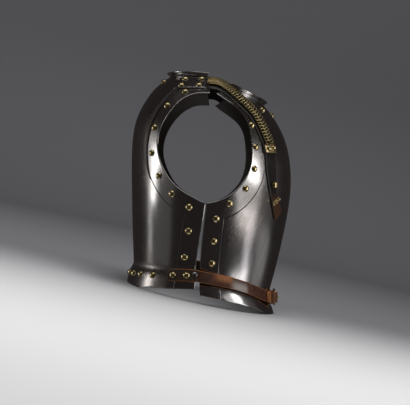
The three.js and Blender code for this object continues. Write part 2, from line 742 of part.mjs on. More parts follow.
// Strap route as a function of its share, from the rows of its table
function routeOf(rows) {
  const at = rows.map((row) => ({ turn: row.turn * QUARTER, z: row.height * TORSO_HEIGHT }));
  const run = [0];
  for (let i = 1; i < at.length; i += 1) run.push(run[i - 1] + flatLength(at[i - 1], at[i]));
  const total = run[run.length - 1];
  const turnOf = spline(run, at.map((point) => point.turn));
  const zOf = spline(run, at.map((point) => point.z));
  const widthOf = spline(run, rows.map((row) => row.width ?? 1));
  const route = (t) => ({ turn: turnOf(t * total), z: zOf(t * total), width: widthOf(t * total) });
  route.total = total;
  return route;
}

function band(route, from, to, steps, width, shape) {
  return sweep(range(steps, (t) => {
    const at = route(from + (to - from) * t);
    return bandRing(skin, at, route(from + (to - from) * t + ROUTE_STEP), width(at), shape);
  }));
}

const strapRoute = routeOf(STRAP_ROUTE);
const backPlateRoute = routeOf(BACK_PLATE_ROUTE);
const STRAP_TOP = STRAP_LIFT + STRAP_THICKNESS;
const OVER_STRAP = STRAP_TOP + STRAP_CLEARANCE;

// Foot on the skin at a share of a route and a distance beside it
function beside(route, share, distance) {
  const at = route(share);
  const next = route(share + LOOK_AHEAD);
  const { normal } = frameOf(skin, at.turn, at.z);
  const tangent = skin(next.turn, next.z).sub(skin(at.turn, at.z));
  const direction = new THREE.Vector3().crossVectors(normal, tangent).normalize();
  return walk(skin, at.turn, at.z, direction, distance);
}

// Steel plate that ends the strap on the shoulder, with its four rivets
function strapBackPlate() {
  const top = SEAT_GAP + END_PLATE_THICKNESS;
  const shape = bandShape(SEAT_GAP, top);
  const plate = band(backPlateRoute, 0, 1, BACK_PLATE_STEPS, () => BACK_PLATE_WIDTH, shape);
  const pieces = [plate];
  for (const share of BACK_PLATE_RIVETS.along) {
    for (const across of BACK_PLATE_RIVETS.across) {
      const foot = beside(backPlateRoute, share, across * BACK_PLATE_WIDTH / 2);
      pieces.push(seated(dome(RIVET_RADIUS, RIVET_HEIGHT), skin, foot.turn, foot.z, top - SINK));
    }
  }
  return fused(pieces);
}

// Brass bar across the strap at one share of its route, with two knobs on it
function knobbedPlate(share, length, width, radius, height) {
  const top = OVER_STRAP + END_PLATE_THICKNESS;
  const half = length / strapRoute.total / 2;
  const shape = bandShape(OVER_STRAP, top);
  const plate = band(strapRoute, share - half, share + half, KNOBBED_PLATE_STEPS, () => width, shape);
  const knobs = [-width / 4, width / 4].map((distance) => {
    const foot = beside(strapRoute, share, distance);
    return seated(dome(radius, height), skin, foot.turn, foot.z, top - SINK);
  });
  return fused([plate, ...knobs]);
}

// Smooth step over a range of two ends
const rise = (value, reach) => THREE.MathUtils.smoothstep(value, reach.from, reach.to);

// Height of the belt's middle line: on the breastplate's crease in front, on the back flange behind
function beltCentre(turn) {
  const breast = BREAST.crease(Math.min(turn, QUARTER)) + BELT_OVER_CREASE;
  const back = BELT_RIVET_HEIGHT * TORSO_HEIGHT;
  return breast + (back - breast) * rise(turn / QUARTER, BELT_CROSSING);
}

// How far the belt stands off: room for the keeper in front, and for the step between the plates
const sidewaysAt = (turn) => -skin(turn, beltCentre(Math.abs(turn))).x;
function standOff(turn) {
  const sideways = Math.abs(sidewaysAt(Math.abs(turn)));
  const front = rise(sideways, { from: KEEPER_ROOM_TO, to: KEEPER_ROOM_GONE });
  const side = rise(Math.abs(turn) / QUARTER, BELT_STEPPING);
  const step = Math.abs(turn) < QUARTER ? SEAM_STEP * side : BACK_STEP;
  return (KEEPER_WALL + 2 * SEAT_GAP) * (1 - front) + step;
}

// Ring of the belt at a turn: a straight section that clears the plate at every height it covers
function beltRing(turn, lift, thickness, width) {
  const size = Math.abs(turn);
  const z = beltCentre(size);
  const out = outward(size, z);
  const edge = (share) => outer(size, z + share * BELT_WIDTH / 2);
  const [lower, upper] = [edge(-1), edge(1)];
  let clear = 0;
  for (const share of BELT_TEST_SHARES) {
    const chord = lower.clone().lerp(upper, (share + 1) / 2);
    clear = Math.max(clear, edge(share).sub(chord).dot(out));
  }
  const from = clear + SEAT_GAP + standOff(turn) + lift;
  const corner = (share, over) => {
    const point = lower.clone().lerp(upper, (share + 1) / 2).addScaledVector(out, from + over);
    return turn < 0 ? point.setX(-point.x) : point;
  };
  const half = width / BELT_WIDTH;
  return [corner(-half, 0), corner(half, 0), corner(half, thickness), corner(-half, thickness)];
}

// Belt strap between two turns, its lift a function of the turn and its ends rounded
function beltBand(from, to, steps, lift, roundFrom, roundTo) {
  const reach = (turn) => Math.abs(turn) * HALF_WIDTH;
  return sweep(range(steps, (t) => {
    const turn = from + (to - from) * t;
    const gone = Math.min(
      roundFrom ? Math.abs(reach(turn) - reach(from)) : BELT_END_ROUND,
      roundTo ? Math.abs(turn - to) * HALF_WIDTH : BELT_END_ROUND,
      BELT_END_ROUND,
    );
    const share = 1 - gone / BELT_END_ROUND;
    const width = BELT_WIDTH * Math.sqrt(1 - BELT_END_LOSS * share * share);
    return beltRing(turn, lift(turn), BELT_THICKNESS, width);
  }));
}

// Frame on the belt at a turn: X along the belt, Y up across it, Z outward, its origin at a lift
function beltFrame(turn, lift) {
  const [lower, upper] = beltRing(turn, lift, BELT_THICKNESS, BELT_WIDTH);
  const next = beltRing(turn + 0.01, lift, BELT_THICKNESS, BELT_WIDTH)[0];
  const up = upper.clone().sub(lower).normalize();
  const out = new THREE.Vector3().crossVectors(up, next.clone().sub(lower)).normalize();
  const right = new THREE.Vector3().crossVectors(up, out);
  const place = lower.clone().add(upper).multiplyScalar(0.5);
  return new THREE.Matrix4().makeBasis(right, up, out).setPosition(place);
}

// Box from one corner to the other
function box(low, high) {
  const size = high.map((value, i) => value - low[i]);
  const centre = high.map((value, i) => (value + low[i]) / 2);
  return new THREE.BoxGeometry(...size).translate(...centre);
}

const cut = (geometry, tool) => fromManifold(toManifold(geometry).subtract(toManifold(tool)));

const turnAtSide = (x) => Math.asin((x / widthAt(beltCentre(0))) ** (FRONT_ROUNDNESS / 2));

// The plate falls away from the flat buckle by the sag
const skinReach = (x) => skin(turnAtSide(x), beltCentre(0)).y;
const BUCKLE_SAG = skinReach(BUCKLE_LENGTH / 2) - skinReach(0);
const BAR_LIFT = BELT_THICKNESS + SEAT_GAP;
const OVER_BAR = BAR_LIFT + BUCKLE_BAR + SEAT_GAP + BUCKLE_SAG;
const BAR_INSIDE = BUCKLE_LENGTH / 2 - BUCKLE_BAR;

// Lift of the long strap, which passes over the near bar and comes down on the buckle strap
function throughBuckle(turn) {
  const x = turn < 0 ? -sidewaysAt(-turn) : sidewaysAt(turn);
  const fallFrom = BUCKLE_LENGTH / 2 + BELT_FALL_START;
  const up = rise(x, { from: -BAR_INSIDE, to: BAR_INSIDE - BELT_FALL_START });
  const down = rise(x, { from: fallFrom, to: fallFrom + BELT_FALL_LENGTH });
  return OVER_BAR * up - (OVER_BAR - BAR_LIFT - SEAT_GAP) * down;
}

// Prong: a leg beside the near bar and a tongue down to the far bar, in the buckle's frame
function prongShape() {
  const root = -BAR_INSIDE + SEAT_GAP;
  const high = BUCKLE_BAR + BELT_THICKNESS + BUCKLE_SAG + SEAT_GAP;
  const low = BUCKLE_BAR + SEAT_GAP;
  const tip = BUCKLE_LENGTH / 2;
  const points = [
    [root, 0], [root + PRONG_THICKNESS, 0], [root + PRONG_THICKNESS, high], [tip, low],
    [tip, low + PRONG_THICKNESS], [root, high + PRONG_THICKNESS],
  ];
  const shape = new THREE.Shape(points.map(([x, y]) => new THREE.Vector2(x, y)));
  const solid = new THREE.ExtrudeGeometry(shape, { depth: PRONG_WIDTH, bevelEnabled: false });
  return solid.rotateX(QUARTER).translate(0, PRONG_WIDTH / 2, 0);
}

function buckleFrame() {
  const rectangle = (a, b) => [[-a, -b], [a, -b], [a, b], [-a, b]].map(([x, y]) => new THREE.Vector2(x, y));
  const [a, b] = [BUCKLE_LENGTH / 2, BUCKLE_HEIGHT / 2];
  const shape = new THREE.Shape(rectangle(a, b));
  shape.holes.push(new THREE.Path(rectangle(a - BUCKLE_BAR, b - BUCKLE_BAR).reverse()));
  return new THREE.ExtrudeGeometry(shape, { depth: BUCKLE_BAR, bevelEnabled: false });
}

function meshOf(name, geometry, material) {
  geometry.computeVertexNormals();
  const mesh = new THREE.Mesh(geometry, material);
  mesh.name = name;
  return mesh;
}

const worn = new THREE.Group();

function addBoth(name, geometry, material) {
  worn.add(meshOf(`${name}_right`, geometry, material));
  worn.add(meshOf(`${name}_left`, mirrored(geometry), material));
}

// Plates with the rivets that are fused to them, and their border rivets
function addPlate(name, plate, fusedRivets, rivets) {
  const { half, border, edge } = plateSurface(plate);
  const surface = mergeGeometries([half, mirrored(half)]);
  const wall = trimmed(outwardFaces(wallBehind(surface, plate.wall)));
  const pieces = [wall];
  const toward = (turn) => (plate.sign < 0 ? turn : Math.PI - turn);
  for (const row of fusedRivets) {
    const z = row.height * TORSO_HEIGHT;
    const rivet = seated(dome(RIVET_RADIUS, RIVET_HEIGHT), outer, toward(row.turn * QUARTER), z, -SINK);
    pieces.push(rivet);
    if (row.turn > 0) pieces.push(mirrored(rivet));
  }
  worn.add(meshOf(name, fused(pieces), STEEL));
  const line = border.map((at, j) => {
    const turned = THREE.MathUtils.smoothstep(j, SIDE_ROWS - 1, SIDE_ROWS + 2);
    const raised = Math.max(0, (j - SIDE_ROWS) / ARM_ROWS);
    const share = rivets.side + (rivets.arm - rivets.side) * turned + (rivets.top - rivets.arm) * raised;
    return mix(at, edge[j], share);
  });
  for (let i = 0; i < rivets.count; i += 1) {
    const share = rivets.first + (rivets.last - rivets.first) * i / (rivets.count - 1);
    const at = along(line, share);
    const rivet = seated(dome(RIVET_RADIUS, RIVET_HEIGHT), skin, at.turn, at.z, SEAT_GAP);
    addBoth(`${name}_rivet_${i + 1}`, rivet, BRASS);
  }
}

addPlate('breastplate', BREAST, BREAST_FUSED_RIVETS, BREAST_RIVETS);
addPlate('backplate', BACK, BACK_FUSED_RIVETS, BACK_RIVETS);

const strapShape = bandShape(STRAP_LIFT, STRAP_TOP, 0, [-1, -0.5, 0, 0.5, 1]);
const strapWidth = (at) => at.width * STRAP_WIDTH;
addBoth('shoulder_strap', band(strapRoute, 0, 1, STRAP_STEPS, strapWidth, strapShape), BLACK_LEATHER);
const chainShape = bandShape(OVER_STRAP, OVER_STRAP + CHAIN_THICKNESS / 2, CHAIN_THICKNESS / 2);
const chainFrom = CHAIN_START / strapRoute.total;
const chainTo = CHAIN_END - (FRONT_PLATE_LENGTH / 2 + CHAIN_SHORT_OF_PLATE) / strapRoute.total;
const chain = band(strapRoute, chainFrom, chainTo, CHAIN_STEPS, () => CHAIN_WIDTH, chainShape);
addBoth('shoulder_chain', chain, BRASS);
addBoth('strap_back_plate', strapBackPlate(), STEEL);
const frontPlate = knobbedPlate(CHAIN_END, FRONT_PLATE_LENGTH, FRONT_PLATE_WIDTH, KNOB_RADIUS, KNOB_HEIGHT);
addBoth('strap_front_plate', frontPlate, BRASS);
const studAt = strapRoute(STUD_AT);
const stud = seated(studShape(STUD_RADIUS, STUD_HEIGHT), skin, studAt.turn, studAt.z, OVER_STRAP);
addBoth('breast_stud', stud, BRASS);
const tipBar = knobbedPlate(TIP_BAR_AT, TIP_BAR_LENGTH, TIP_BAR_WIDTH, SMALL_KNOB_RADIUS, KNOB_HEIGHT);
addBoth('strap_tip_bar', tipBar, BRASS);

// Belt: the buckle strap on the wearer's right, the long strap through the buckle from the left
const beltEnd = Math.PI - BELT_END_TURN * QUARTER;
const buckleAt = beltFrame(0, BAR_LIFT);
const strapEnd = turnAtSide(BAR_INSIDE - BELT_END_BEFORE_BAR);
const buckleStrap = beltBand(beltEnd, strapEnd, BELT_STEPS.right, () => 0, true, false);
worn.add(meshOf('belt_strap_right', buckleStrap, BROWN_LEATHER));
const slotFrom = -BAR_INSIDE + SEAT_GAP / 2;
const slot = box(
  [slotFrom, -PRONG_WIDTH, -BUCKLE_BAR],
  [slotFrom + PRONG_THICKNESS + 2 * SEAT_GAP, PRONG_WIDTH, OVER_BAR + 2 * BELT_THICKNESS],
);
const tipTurn = turnAtSide(BELT_TIP_FROM_MIDDLE);
const longStrap = beltBand(-beltEnd, tipTurn, BELT_STEPS.left, throughBuckle, true, true);
worn.add(meshOf('belt_strap_left', cut(longStrap, slot.applyMatrix4(buckleAt)), BROWN_LEATHER));
worn.add(meshOf('belt_buckle_frame', buckleFrame().applyMatrix4(buckleAt), BRASS));
worn.add(meshOf('belt_buckle_prong', prongShape().applyMatrix4(buckleAt), BRASS));

const keeperAt = beltFrame(turnAtSide(KEEPER_FROM_MIDDLE), 0);
const keeperLow = 1.5 * SEAT_GAP;
const keeperHigh = 2 * BELT_THICKNESS + SEAT_GAP + 2.5 * SEAT_GAP;
const keeperHalf = BELT_WIDTH / 2 + 2 * SEAT_GAP;
const keeperRing = (grow, length) => box(
  [-length / 2, -keeperHalf - grow, -keeperLow - grow],
  [length / 2, keeperHalf + grow, keeperHigh + grow],
);
const keeper = cut(keeperRing(KEEPER_WALL, KEEPER_LENGTH), keeperRing(0, 2 * KEEPER_LENGTH));
worn.add(meshOf('belt_keeper', keeper.applyMatrix4(keeperAt), BROWN_LEATHER));

const onBelt = (turn) => beltFrame(Math.PI - turn * QUARTER, BELT_THICKNESS + SEAT_GAP);
BELT_RIVET_TURNS.forEach((turn, i) => {
  addBoth(`belt_rivet_${i + 1}`, dome(RIVET_RADIUS, RIVET_HEIGHT).applyMatrix4(onBelt(turn)), BRASS);
});
const seamStud = dome(SEAM_STUD_RADIUS, SEAM_STUD_HEIGHT).translate(0, SEAM_STUD_RAISED, SEAT_GAP / 2);
addBoth('belt_seam_stud', seamStud.applyMatrix4(onBelt(SEAM_STUD_TURN)), STEEL);

// Stands the worn cuirass on both rims, over the middle of its box
worn.name = 'worn';
worn.rotation.x = -LEAN;
const cuirass = new THREE.Group();
cuirass.add(worn);
const bounds = new THREE.Box3().setFromObject(cuirass, true);
const middle = bounds.getCenter(new THREE.Vector3());
worn.position.set(0, -middle.y, -bounds.min.z);

export default cuirass;
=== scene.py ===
"""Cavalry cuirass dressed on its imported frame: metres, +Z up, the breastplate towards -Y."""
import math

import bpy
import numpy as np
from mathutils import Matrix, Vector


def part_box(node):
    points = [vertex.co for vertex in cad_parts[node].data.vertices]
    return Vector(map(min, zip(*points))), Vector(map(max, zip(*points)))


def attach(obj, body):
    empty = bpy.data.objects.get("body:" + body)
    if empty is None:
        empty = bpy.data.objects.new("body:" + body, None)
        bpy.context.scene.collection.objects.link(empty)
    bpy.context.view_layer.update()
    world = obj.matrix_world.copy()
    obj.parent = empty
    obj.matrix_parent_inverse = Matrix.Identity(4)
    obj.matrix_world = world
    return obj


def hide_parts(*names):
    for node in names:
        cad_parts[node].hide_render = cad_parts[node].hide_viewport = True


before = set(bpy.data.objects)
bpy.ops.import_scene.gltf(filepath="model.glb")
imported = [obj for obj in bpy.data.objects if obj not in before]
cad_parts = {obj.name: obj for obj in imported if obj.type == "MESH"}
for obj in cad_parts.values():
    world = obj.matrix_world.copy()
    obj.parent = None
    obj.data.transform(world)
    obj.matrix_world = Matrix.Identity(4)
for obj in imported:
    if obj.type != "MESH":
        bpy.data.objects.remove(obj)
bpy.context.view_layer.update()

bl_info = {
    "name": "Cavalry cuirass",
    "version": (1, 0, 0),
    "blender": (4, 5, 0),
    "location": "3D View > Sidebar > Cuirass",
    "description": "Steel cuirass with chain-faced shoulder straps and a buckled waist belt",
    "category": "Add Mesh",
}

MM = 0.001
QUARTER = math.pi / 2

# Torso sections by height: share of the torso height, of the half width, of the front depth and of
# the back depth, and the side line's place in the back depth
SECTIONS = np.array([
    (-0.475, 0.801, 0.722, 0.968, 0.100),
    (-0.300, 0.842, 0.838, 0.975, 0.094),
    (-0.125, 0.945, 0.933, 0.990, 0.034),
    (0.050, 1.000, 0.998, 0.999, -0.026),
    (0.190, 0.968, 0.992, 1.002, -0.044),
    (0.3125, 0.905, 0.923, 0.986, -0.056),
    (0.420, 0.813, 0.781, 0.915, -0.063),
    (0.500, 0.680, 0.605, 0.792, -0.067),
    (0.565, 0.507, 0.395, 0.637, -0.069),
    (0.615, 0.346, 0.216, 0.444, -0.070),
])
# Turn from the middle line (0) to the side line (1); heights of crease, lower rim and neckline
BREAST_LINES = np.array([
    (0.00, -0.4700, -0.5435, 0.4660),
    (0.17, -0.4660, -0.5390, 0.4710),
    (0.34, -0.4490, -0.5230, 0.4830),
    (0.51, -0.4180, -0.4920, 0.5060),
    (0.70, -0.3840, -0.4600, 0.5450),
    (1.00, -0.3430, -0.4150, 0.5850),
])
BACK_LINES = np.array([
    (0.00, -0.2875, -0.3830, 0.6080),
    (0.17, -0.2880, -0.3860, 0.6075),
    (0.34, -0.2900, -0.3920, 0.6055),
    (0.51, -0.2930, -0.3880, 0.6030),
    (0.70, -0.2970, -0.3880, 0.5985),
    (1.00, -0.3030, -0.3910, 0.5860),
])
# Armhole edge seen from the side: reach in the plate's depth, height in the torso height
BREAST_ARMHOLE = np.array([
    (0.160, 0.0090), (0.299, 0.0415), (0.410, 0.0900), (0.482, 0.1500), (0.509, 0.2250),
    (0.500, 0.3000), (0.461, 0.3700), (0.372, 0.4200), (0.250, 0.4580), (0.126, 0.4950),
])
BACK_ARMHOLE = np.array([
    (0.155, 0.0225), (0.303, 0.0550), (0.437, 0.1010), (0.535, 0.1600), (0.599, 0.2300),
    (0.602, 0.2900), (0.549, 0.3550), (0.437, 0.4200), (0.282, 0.4710), (0.127, 0.4950),
    (-0.056, 0.4975),
])
ARMHOLE_LOW = -0.006
# Height in millimetres of the backplate's lowest section that counts for the depth
BACK_LOW = -153.0
BREAST_NECK_CORNER = 0.665
BACK_NECK_CORNER = 0.96

# Turned rims: share of their height against share of their flare
FLANGE_PROFILE = np.array([(0, 0), (0.12, 0.09), (0.32, 0.42), (0.55, 0.68), (0.78, 0.86), (1, 1)])
COLLAR_PROFILE = np.array([(0, 0), (0.45, 0.15), (0.80, 0.45), (1, 1)])

# Shoulder strap: turn in quarter turns, height in the torso height, width in the strap width
STRAP_ROUTE = np.array([
    (1.022, 0.551, 1.00), (0.872, 0.546, 1.00), (0.771, 0.527, 1.00), (0.696, 0.494, 1.00),
    (0.639, 0.461, 1.00), (0.584, 0.425, 0.96), (0.545, 0.379, 0.94), (0.525, 0.325, 0.94),
    (0.501, 0.268, 0.94), (0.493, 0.220, 0.90), (0.494, 0.150, 0.86), (0.484, 0.095, 0.76),
    (0.468, 0.050, 0.62), (0.440, 0.010, 0.62), (0.385, -0.040, 0.78), (0.355, -0.064, 0.84),
])
BACK_PLATE_ROUTE = np.array([(1.400, 0.556, 1.0), (1.220, 0.556, 1.0), (1.036, 0.551, 1.0)])
CHAIN_END = 0.612
STUD_AT = 0.806
TIP_BAR_AT = 0.896
# Rivets of the back plates: share of their length, share of their half width
BACK_PLATE_RIVETS = np.array([(0.22, -0.58), (0.22, 0.58), (0.80, -0.58), (0.80, 0.58)])
# Breast stud turned round its axis: share of the radius, share of the height
STUD_PROFILE = np.array([
    (0.8, 0), (0.84, 0.06), (0.8, 0.18), (0.62, 0.28), (0.55, 0.4), (0.62, 0.5), (0.85, 0.58),
    (0.97, 0.68), (0.95, 0.8), (0.8, 0.92), (0.5, 0.985), (0.02, 1.0),
])

# Border rivets: count, shares of the rivet line for the first and last, places across the border
BREAST_RIVETS = {"count": 8, "first": 0.075, "last": 0.76, "side": 0.42, "arm": 0.6, "top": 0.9}
BACK_RIVETS = {"count": 9, "first": 0.043, "last": 0.862, "side": 0.4, "arm": 0.52, "top": 0.52}
# Neck and flange rivets: turn in quarter turns from the middle line, height in the torso height
BREAST_EXTRA_RIVETS = np.array([(0.00, 0.421), (0.34, 0.436)])
BACK_EXTRA_RIVETS = np.array([
    (0.20, 0.578), (0.120, -0.335), (0.262, -0.335), (0.405, -0.335), (0.572, -0.335),
])
BELT_RIVET_TURNS = (0.785, 0.905)
SEAM_STUD_TURN = 0.978
BELT_END_TURN = 0.735
BELT_RIVET_HEIGHT = -0.329
# Quarter turns between which the belt steps out in front of the seam, and leaves the waist crease for
# the rivets' height; millimetres beside the middle between which it comes down from the keeper
BELT_STEPPING = np.array([0.84, 0.99])
BELT_CROSSING = np.array([0.96, 1.12])
KEEPER_FALL = (45, 70)
BELT_TEST_SHARES = np.array([-1.25, -0.75, -0.5, -0.25, 0, 0.25, 0.5, 0.75, 1.25])
# Worn places of the belt in quarter turns, the grey rubbed one also a painted highlight: where each comes in
# and goes out again
RUBBED_AND_HIGHLIGHT_PLACE = (0.56, 0.61, 0.68, 0.76)
ORANGE_PLACE = (0.70, 0.75, 0.82, 0.90)
DARK_FROM = (0.84, 0.95)

# Coarse steps of a border beside the seam and round the armhole
SIDE_ROWS = 5
ARM_ROWS = 12

# Fineness of the meshes
PLATE_FINE = 9
FIELD_COLUMNS = 7
OVER_COLUMNS = 2
GROOVE_ROWS = 6
BORDER_ROWS = 18
FLANGE_ROWS = 16
COLLAR_ROWS = 9
STRAP_STATIONS = 181
BAND_STATIONS = 33
LINK_SIDES = 12
WIRE_SIDES = 5
BUCKLE_SIDES = 64
KEEPER_SIDES = 72
BAR_SIDES = 12

# Flat rows on both sides of the groove: share of the last field column, share of the border
BESIDE_GROOVE = 0.1
BEYOND_GROOVE = 0.008
# Share of the border from which its edge is rounded off
ROUND_FROM = 0.94

# Fixed small sizes, millimetres
EDGE_DROP = 0.45
COLLAR_INSET = 0.5
RIVET_STANDS = 0.15
RIVET_SUNK = 0.25
HEAD_SUNK = 0.3
KNOB_SUNK = 0.4
CHAIN_INSET = 4.5
CHAIN_SHORT = 4.0
CORNER_ROUND = 1.0
PLATE_CORNER = 0.7
BELT_CORNER = 0.9

# Rivet head: half angle of its round top and share of its height that stands upright
DOME_HALF_ANGLE = 0.98
DOME_SKIRT = 0.30

# Stage in metres, lens and sensor in millimetres, and the photograph's scale at the body's middle
FLOOR_RADIUS = 2.6
COVE_RADIUS = 0.9
BACKDROP_HEIGHTS = (1.4, 2.4, 3.6)
CAMERA_DISTANCE = 2.0
CAMERA_LENS = 90.06
CAMERA_SENSOR = 36.0
MM_PER_PIXEL = 1.95

# Soft lights that the metal mirrors, aimed at the cuirass: name, degrees round from the camera's
# side (the back positive) and up, width and height in metres, brightness
SOFT_LIGHTS = (
    ("key", -68, -2, 0.84, 1.10, 0.80),
    ("key_high", -76, 12, 0.30, 0.44, 4.50),
    ("key_low", -69, -20, 0.62, 0.18, 2.40),
    ("key_ray", -77, -25, 0.20, 0.22, 1.20),
    ("key_fade", -104, -22, 0.50, 0.24, 0.25),
    ("key_far", -102, -6, 0.50, 0.90, 0.06),
    ("behind_core", 97, -4, 0.22, 1.50, 0.60),
    ("behind_high", 90, 8, 0.22, 0.46, 4.20),
    ("behind_wide", 72, -6, 0.80, 1.40, 0.08),
    ("ceiling", 0, 72, 1.60, 0.70, 1.00),
    ("low", 0, -72, 1.40, 0.60, 0.60),
)
SOFT_DISTANCE = 1.4
SOFT_TINT = (1.0, 0.985, 0.965)
WORLD_COLOUR = (0.024, 0.020, 0.019, 1.0)


def length(name, default, description):
    return bpy.props.FloatProperty(
        name=name, default=default * MM, description=description, unit="LENGTH", precision=5)


def colour(name, default, description):
    return bpy.props.FloatVectorProperty(
        name=name, default=default, description=description, subtype="COLOR", size=3, min=0, max=1)


def factor(name, default, description, top=1.0):
    return bpy.props.FloatProperty(
        name=name, default=default, description=description, subtype="FACTOR", min=0, max=top)


class CuirassPlateSizes(bpy.types.PropertyGroup):
    torso_height: length("Torso height", 400, "Length that every height share is taken of")
    half_width: length("Half width", 173.3, "Half width of the torso at its widest")
    front_depth: length("Front depth", 166.66, "Reach of the breastplate in front")
    back_depth: length("Back depth", 142, "Reach of the backplate behind")
    breast_wall: length("Breast wall", 2.6, "Thickness of the breastplate")
    back_wall: length("Back wall", 2.2, "Thickness of the backplate")
    border_width: length("Border width", 37, "Width of the riveted border")
    groove_width: length("Groove width", 1.8, "Width of the engraved line inside the border")
    groove_depth: length("Groove depth", 0.7, "Depth of the engraved line")
    seam_gap_top: length("Seam gap, top", 0.8, "Gap between the plates under the arm")
    seam_gap_waist: length("Seam gap, waist", 8, "Gap between the plates at the waist")
    flange_flare: length("Flange flare", 13, "How far the lower rim turns out")
    collar_height: length("Collar height", 6.5, "Height of the turned neck rim")
    collar_flare: length("Collar flare", 6, "How far the neck rim turns out")
    armhole_flare: length("Armhole flare", 1.6, "How far the armhole edge turns out")
    edge_round: length("Edge rounding", 1.3, "How far the rounded edge stands beyond the wall")
    foot_trim: length("Foot trim", 1, "How much of the lower rims is filed flat")
    front_roundness: bpy.props.FloatProperty(
        name="Front roundness", default=1.6, description="Under 2 the breast has a soft ridge")
    back_roundness: bpy.props.FloatProperty(
        name="Back roundness", default=2.08, description="2 is an ellipse, more is squarer")


class CuirassTrimSizes(bpy.types.PropertyGroup):
    rivet_radius: length("Rivet radius", 6.2, "Radius of a brass rivet head")
    rivet_height: length("Rivet height", 4.6, "Height of a brass rivet head")
    stud_radius: length("Stud radius", 6.5, "Radius of the breast stud")
    stud_height: length("Stud height", 8, "Height of the breast stud")
    knob_radius: length("Knob radius", 5.2, "Radius of the knobs on the front plates")
    knob_height: length("Knob height", 5, "Height of the knobs")
    small_knob_radius: length("Small knob radius", 4, "Radius of the knobs near the strap tips")
    strap_width: length("Strap width", 33, "Width of a shoulder strap")
    strap_thickness: length("Strap thickness", 2.8, "Thickness of a shoulder strap")
    chain_width: length("Chain width", 25, "Width of both rows of links together")
    chain_thickness: length("Chain thickness", 4.6, "Height of the chain over the strap")
    link_pitch: length("Link pitch", 5.2, "Distance from link to link")
    link_wire: length("Link wire", 1.9, "Diameter of the link wire")
    end_plate: length("End plate", 2.2, "Thickness of the metal end plates")
    back_plate_width: length("Back plate width", 37, "Width of the plate on the shoulder")
    front_plate_width: length("Front plate width", 31, "Width of the plate at the chain's end")
    front_plate_length: length("Front plate length", 17, "Length of the plate at the chain's end")
    tip_bar_width: length("Tip bar width", 21, "Width of the bar near the strap's tip")
    tip_bar_length: length("Tip bar length", 7.5, "Length of the bar near the strap's tip")
    strap_lift: length("Strap lift", 0.65, "Clearance between the strap and the plate under it")
    strap_clearance: length("Strap clearance", 0.6, "Clearance between the strap and what lies on it")
    seat_gap: length("Seat gap", 0.4, "Clearance between touching pieces")


class CuirassBeltSizes(bpy.types.PropertyGroup):
    width: length("Belt width", 21, "Width of the belt")
    thickness: length("Belt thickness", 2.6, "Thickness of the belt")
    buckle_length: length("Buckle length", 30, "Length of the buckle frame along the belt")
    buckle_height: length("Buckle height", 31, "Height of the buckle frame")
    buckle_bar: length("Buckle bar", 4, "Thickness of the buckle's bars")
    prong_width: length("Prong width", 3.2, "Width of the buckle's prong")
    prong_thickness: length("Prong thickness", 2.6, "Thickness of the buckle's prong")
    keeper_length: length("Keeper length", 9, "Length of the keeper along the belt")
    keeper_wall: length("Keeper wall", 1.6, "Thickness of the keeper's leather")
    keeper_place: length("Keeper place", 34, "Distance of the keeper from the middle")
    tip_place: length("Tip place", 54, "Distance of the belt's tip from the middle")
    end_round: length("End rounding", 12, "Length over which the belt's ends narrow")
    over_crease: length("Over crease", 3.5, "Belt's middle line over the waist crease in front")
    seam_step: length("Seam step", 5, "How far the belt stands off in front of the seam")
    back_step: length("Back step", 0.8, "How far the belt stands off behind the seam")
    stud_radius: length("Seam stud radius", 4.8, "Radius of the slotted stud at the seam")
    stud_height: length("Seam stud height", 2.6, "Height of the slotted stud")
    stud_raised: length("Seam stud raised", 2.5, "How far the stud sits over the belt's middle line")


class CuirassFinishes(bpy.types.PropertyGroup):
    steel: colour("Steel", (0.50, 0.49, 0.49), "Polished steel")
    steel_patina: colour("Steel patina", (0.27, 0.225, 0.19), "Brown bloom on the steel")
    steel_bloom: colour("Steel bloom", (0.33, 0.31, 0.37), "Bluish violet bloom on the steel")
    # Bare worn edges, lightened further as a painted highlight along the rims
    steel_edge_and_highlight: colour("Steel edge", (0.80, 0.79, 0.77), "Bare worn edges")
    brass: colour("Brass", (0.86, 0.72, 0.38), "Rubbed brass")
    # Tarnish in the hollows, also painted shade low down on heads, links and bars
    brass_tarnish_and_shade: colour("Dark brass", (0.20, 0.135, 0.055), "Tarnish in the hollows")
    black_leather: colour("Black leather", (0.009, 0.008, 0.007), "Face of the straps")
    cut_leather: colour("Cut leather", (0.10, 0.095, 0.085), "Pale cut edge of the straps")
    brown_leather: colour("Brown leather", (0.080, 0.026, 0.013), "Face of the belt")
    worn_leather: colour("Worn leather", (0.40, 0.36, 0.33), "Rubbed grey patch on the belt")
    # Rubbed grey patch on the belt: leather wear and a painted highlight
    orange_leather: colour("Orange leather", (0.42, 0.17, 0.06), "Edges and ends of the belt")
    floor: colour("Floor", (0.93, 0.93, 0.94), "Studio floor in front of the cuirass")
    # Far colour of the painted light falloff on floor and backdrop
    backdrop: colour("Backdrop", (0.165, 0.165, 0.176), "Backdrop and floor behind the cuirass")
    steel_roughness: factor("Steel roughness", 0.20, "Roughness of the polished steel")
    light: factor("Light", 1.0, "Strength of all studio lights together", 4.0)


# Surfaces in millimetres, as worn: the torso upright, its armholes' lowest point at height 0

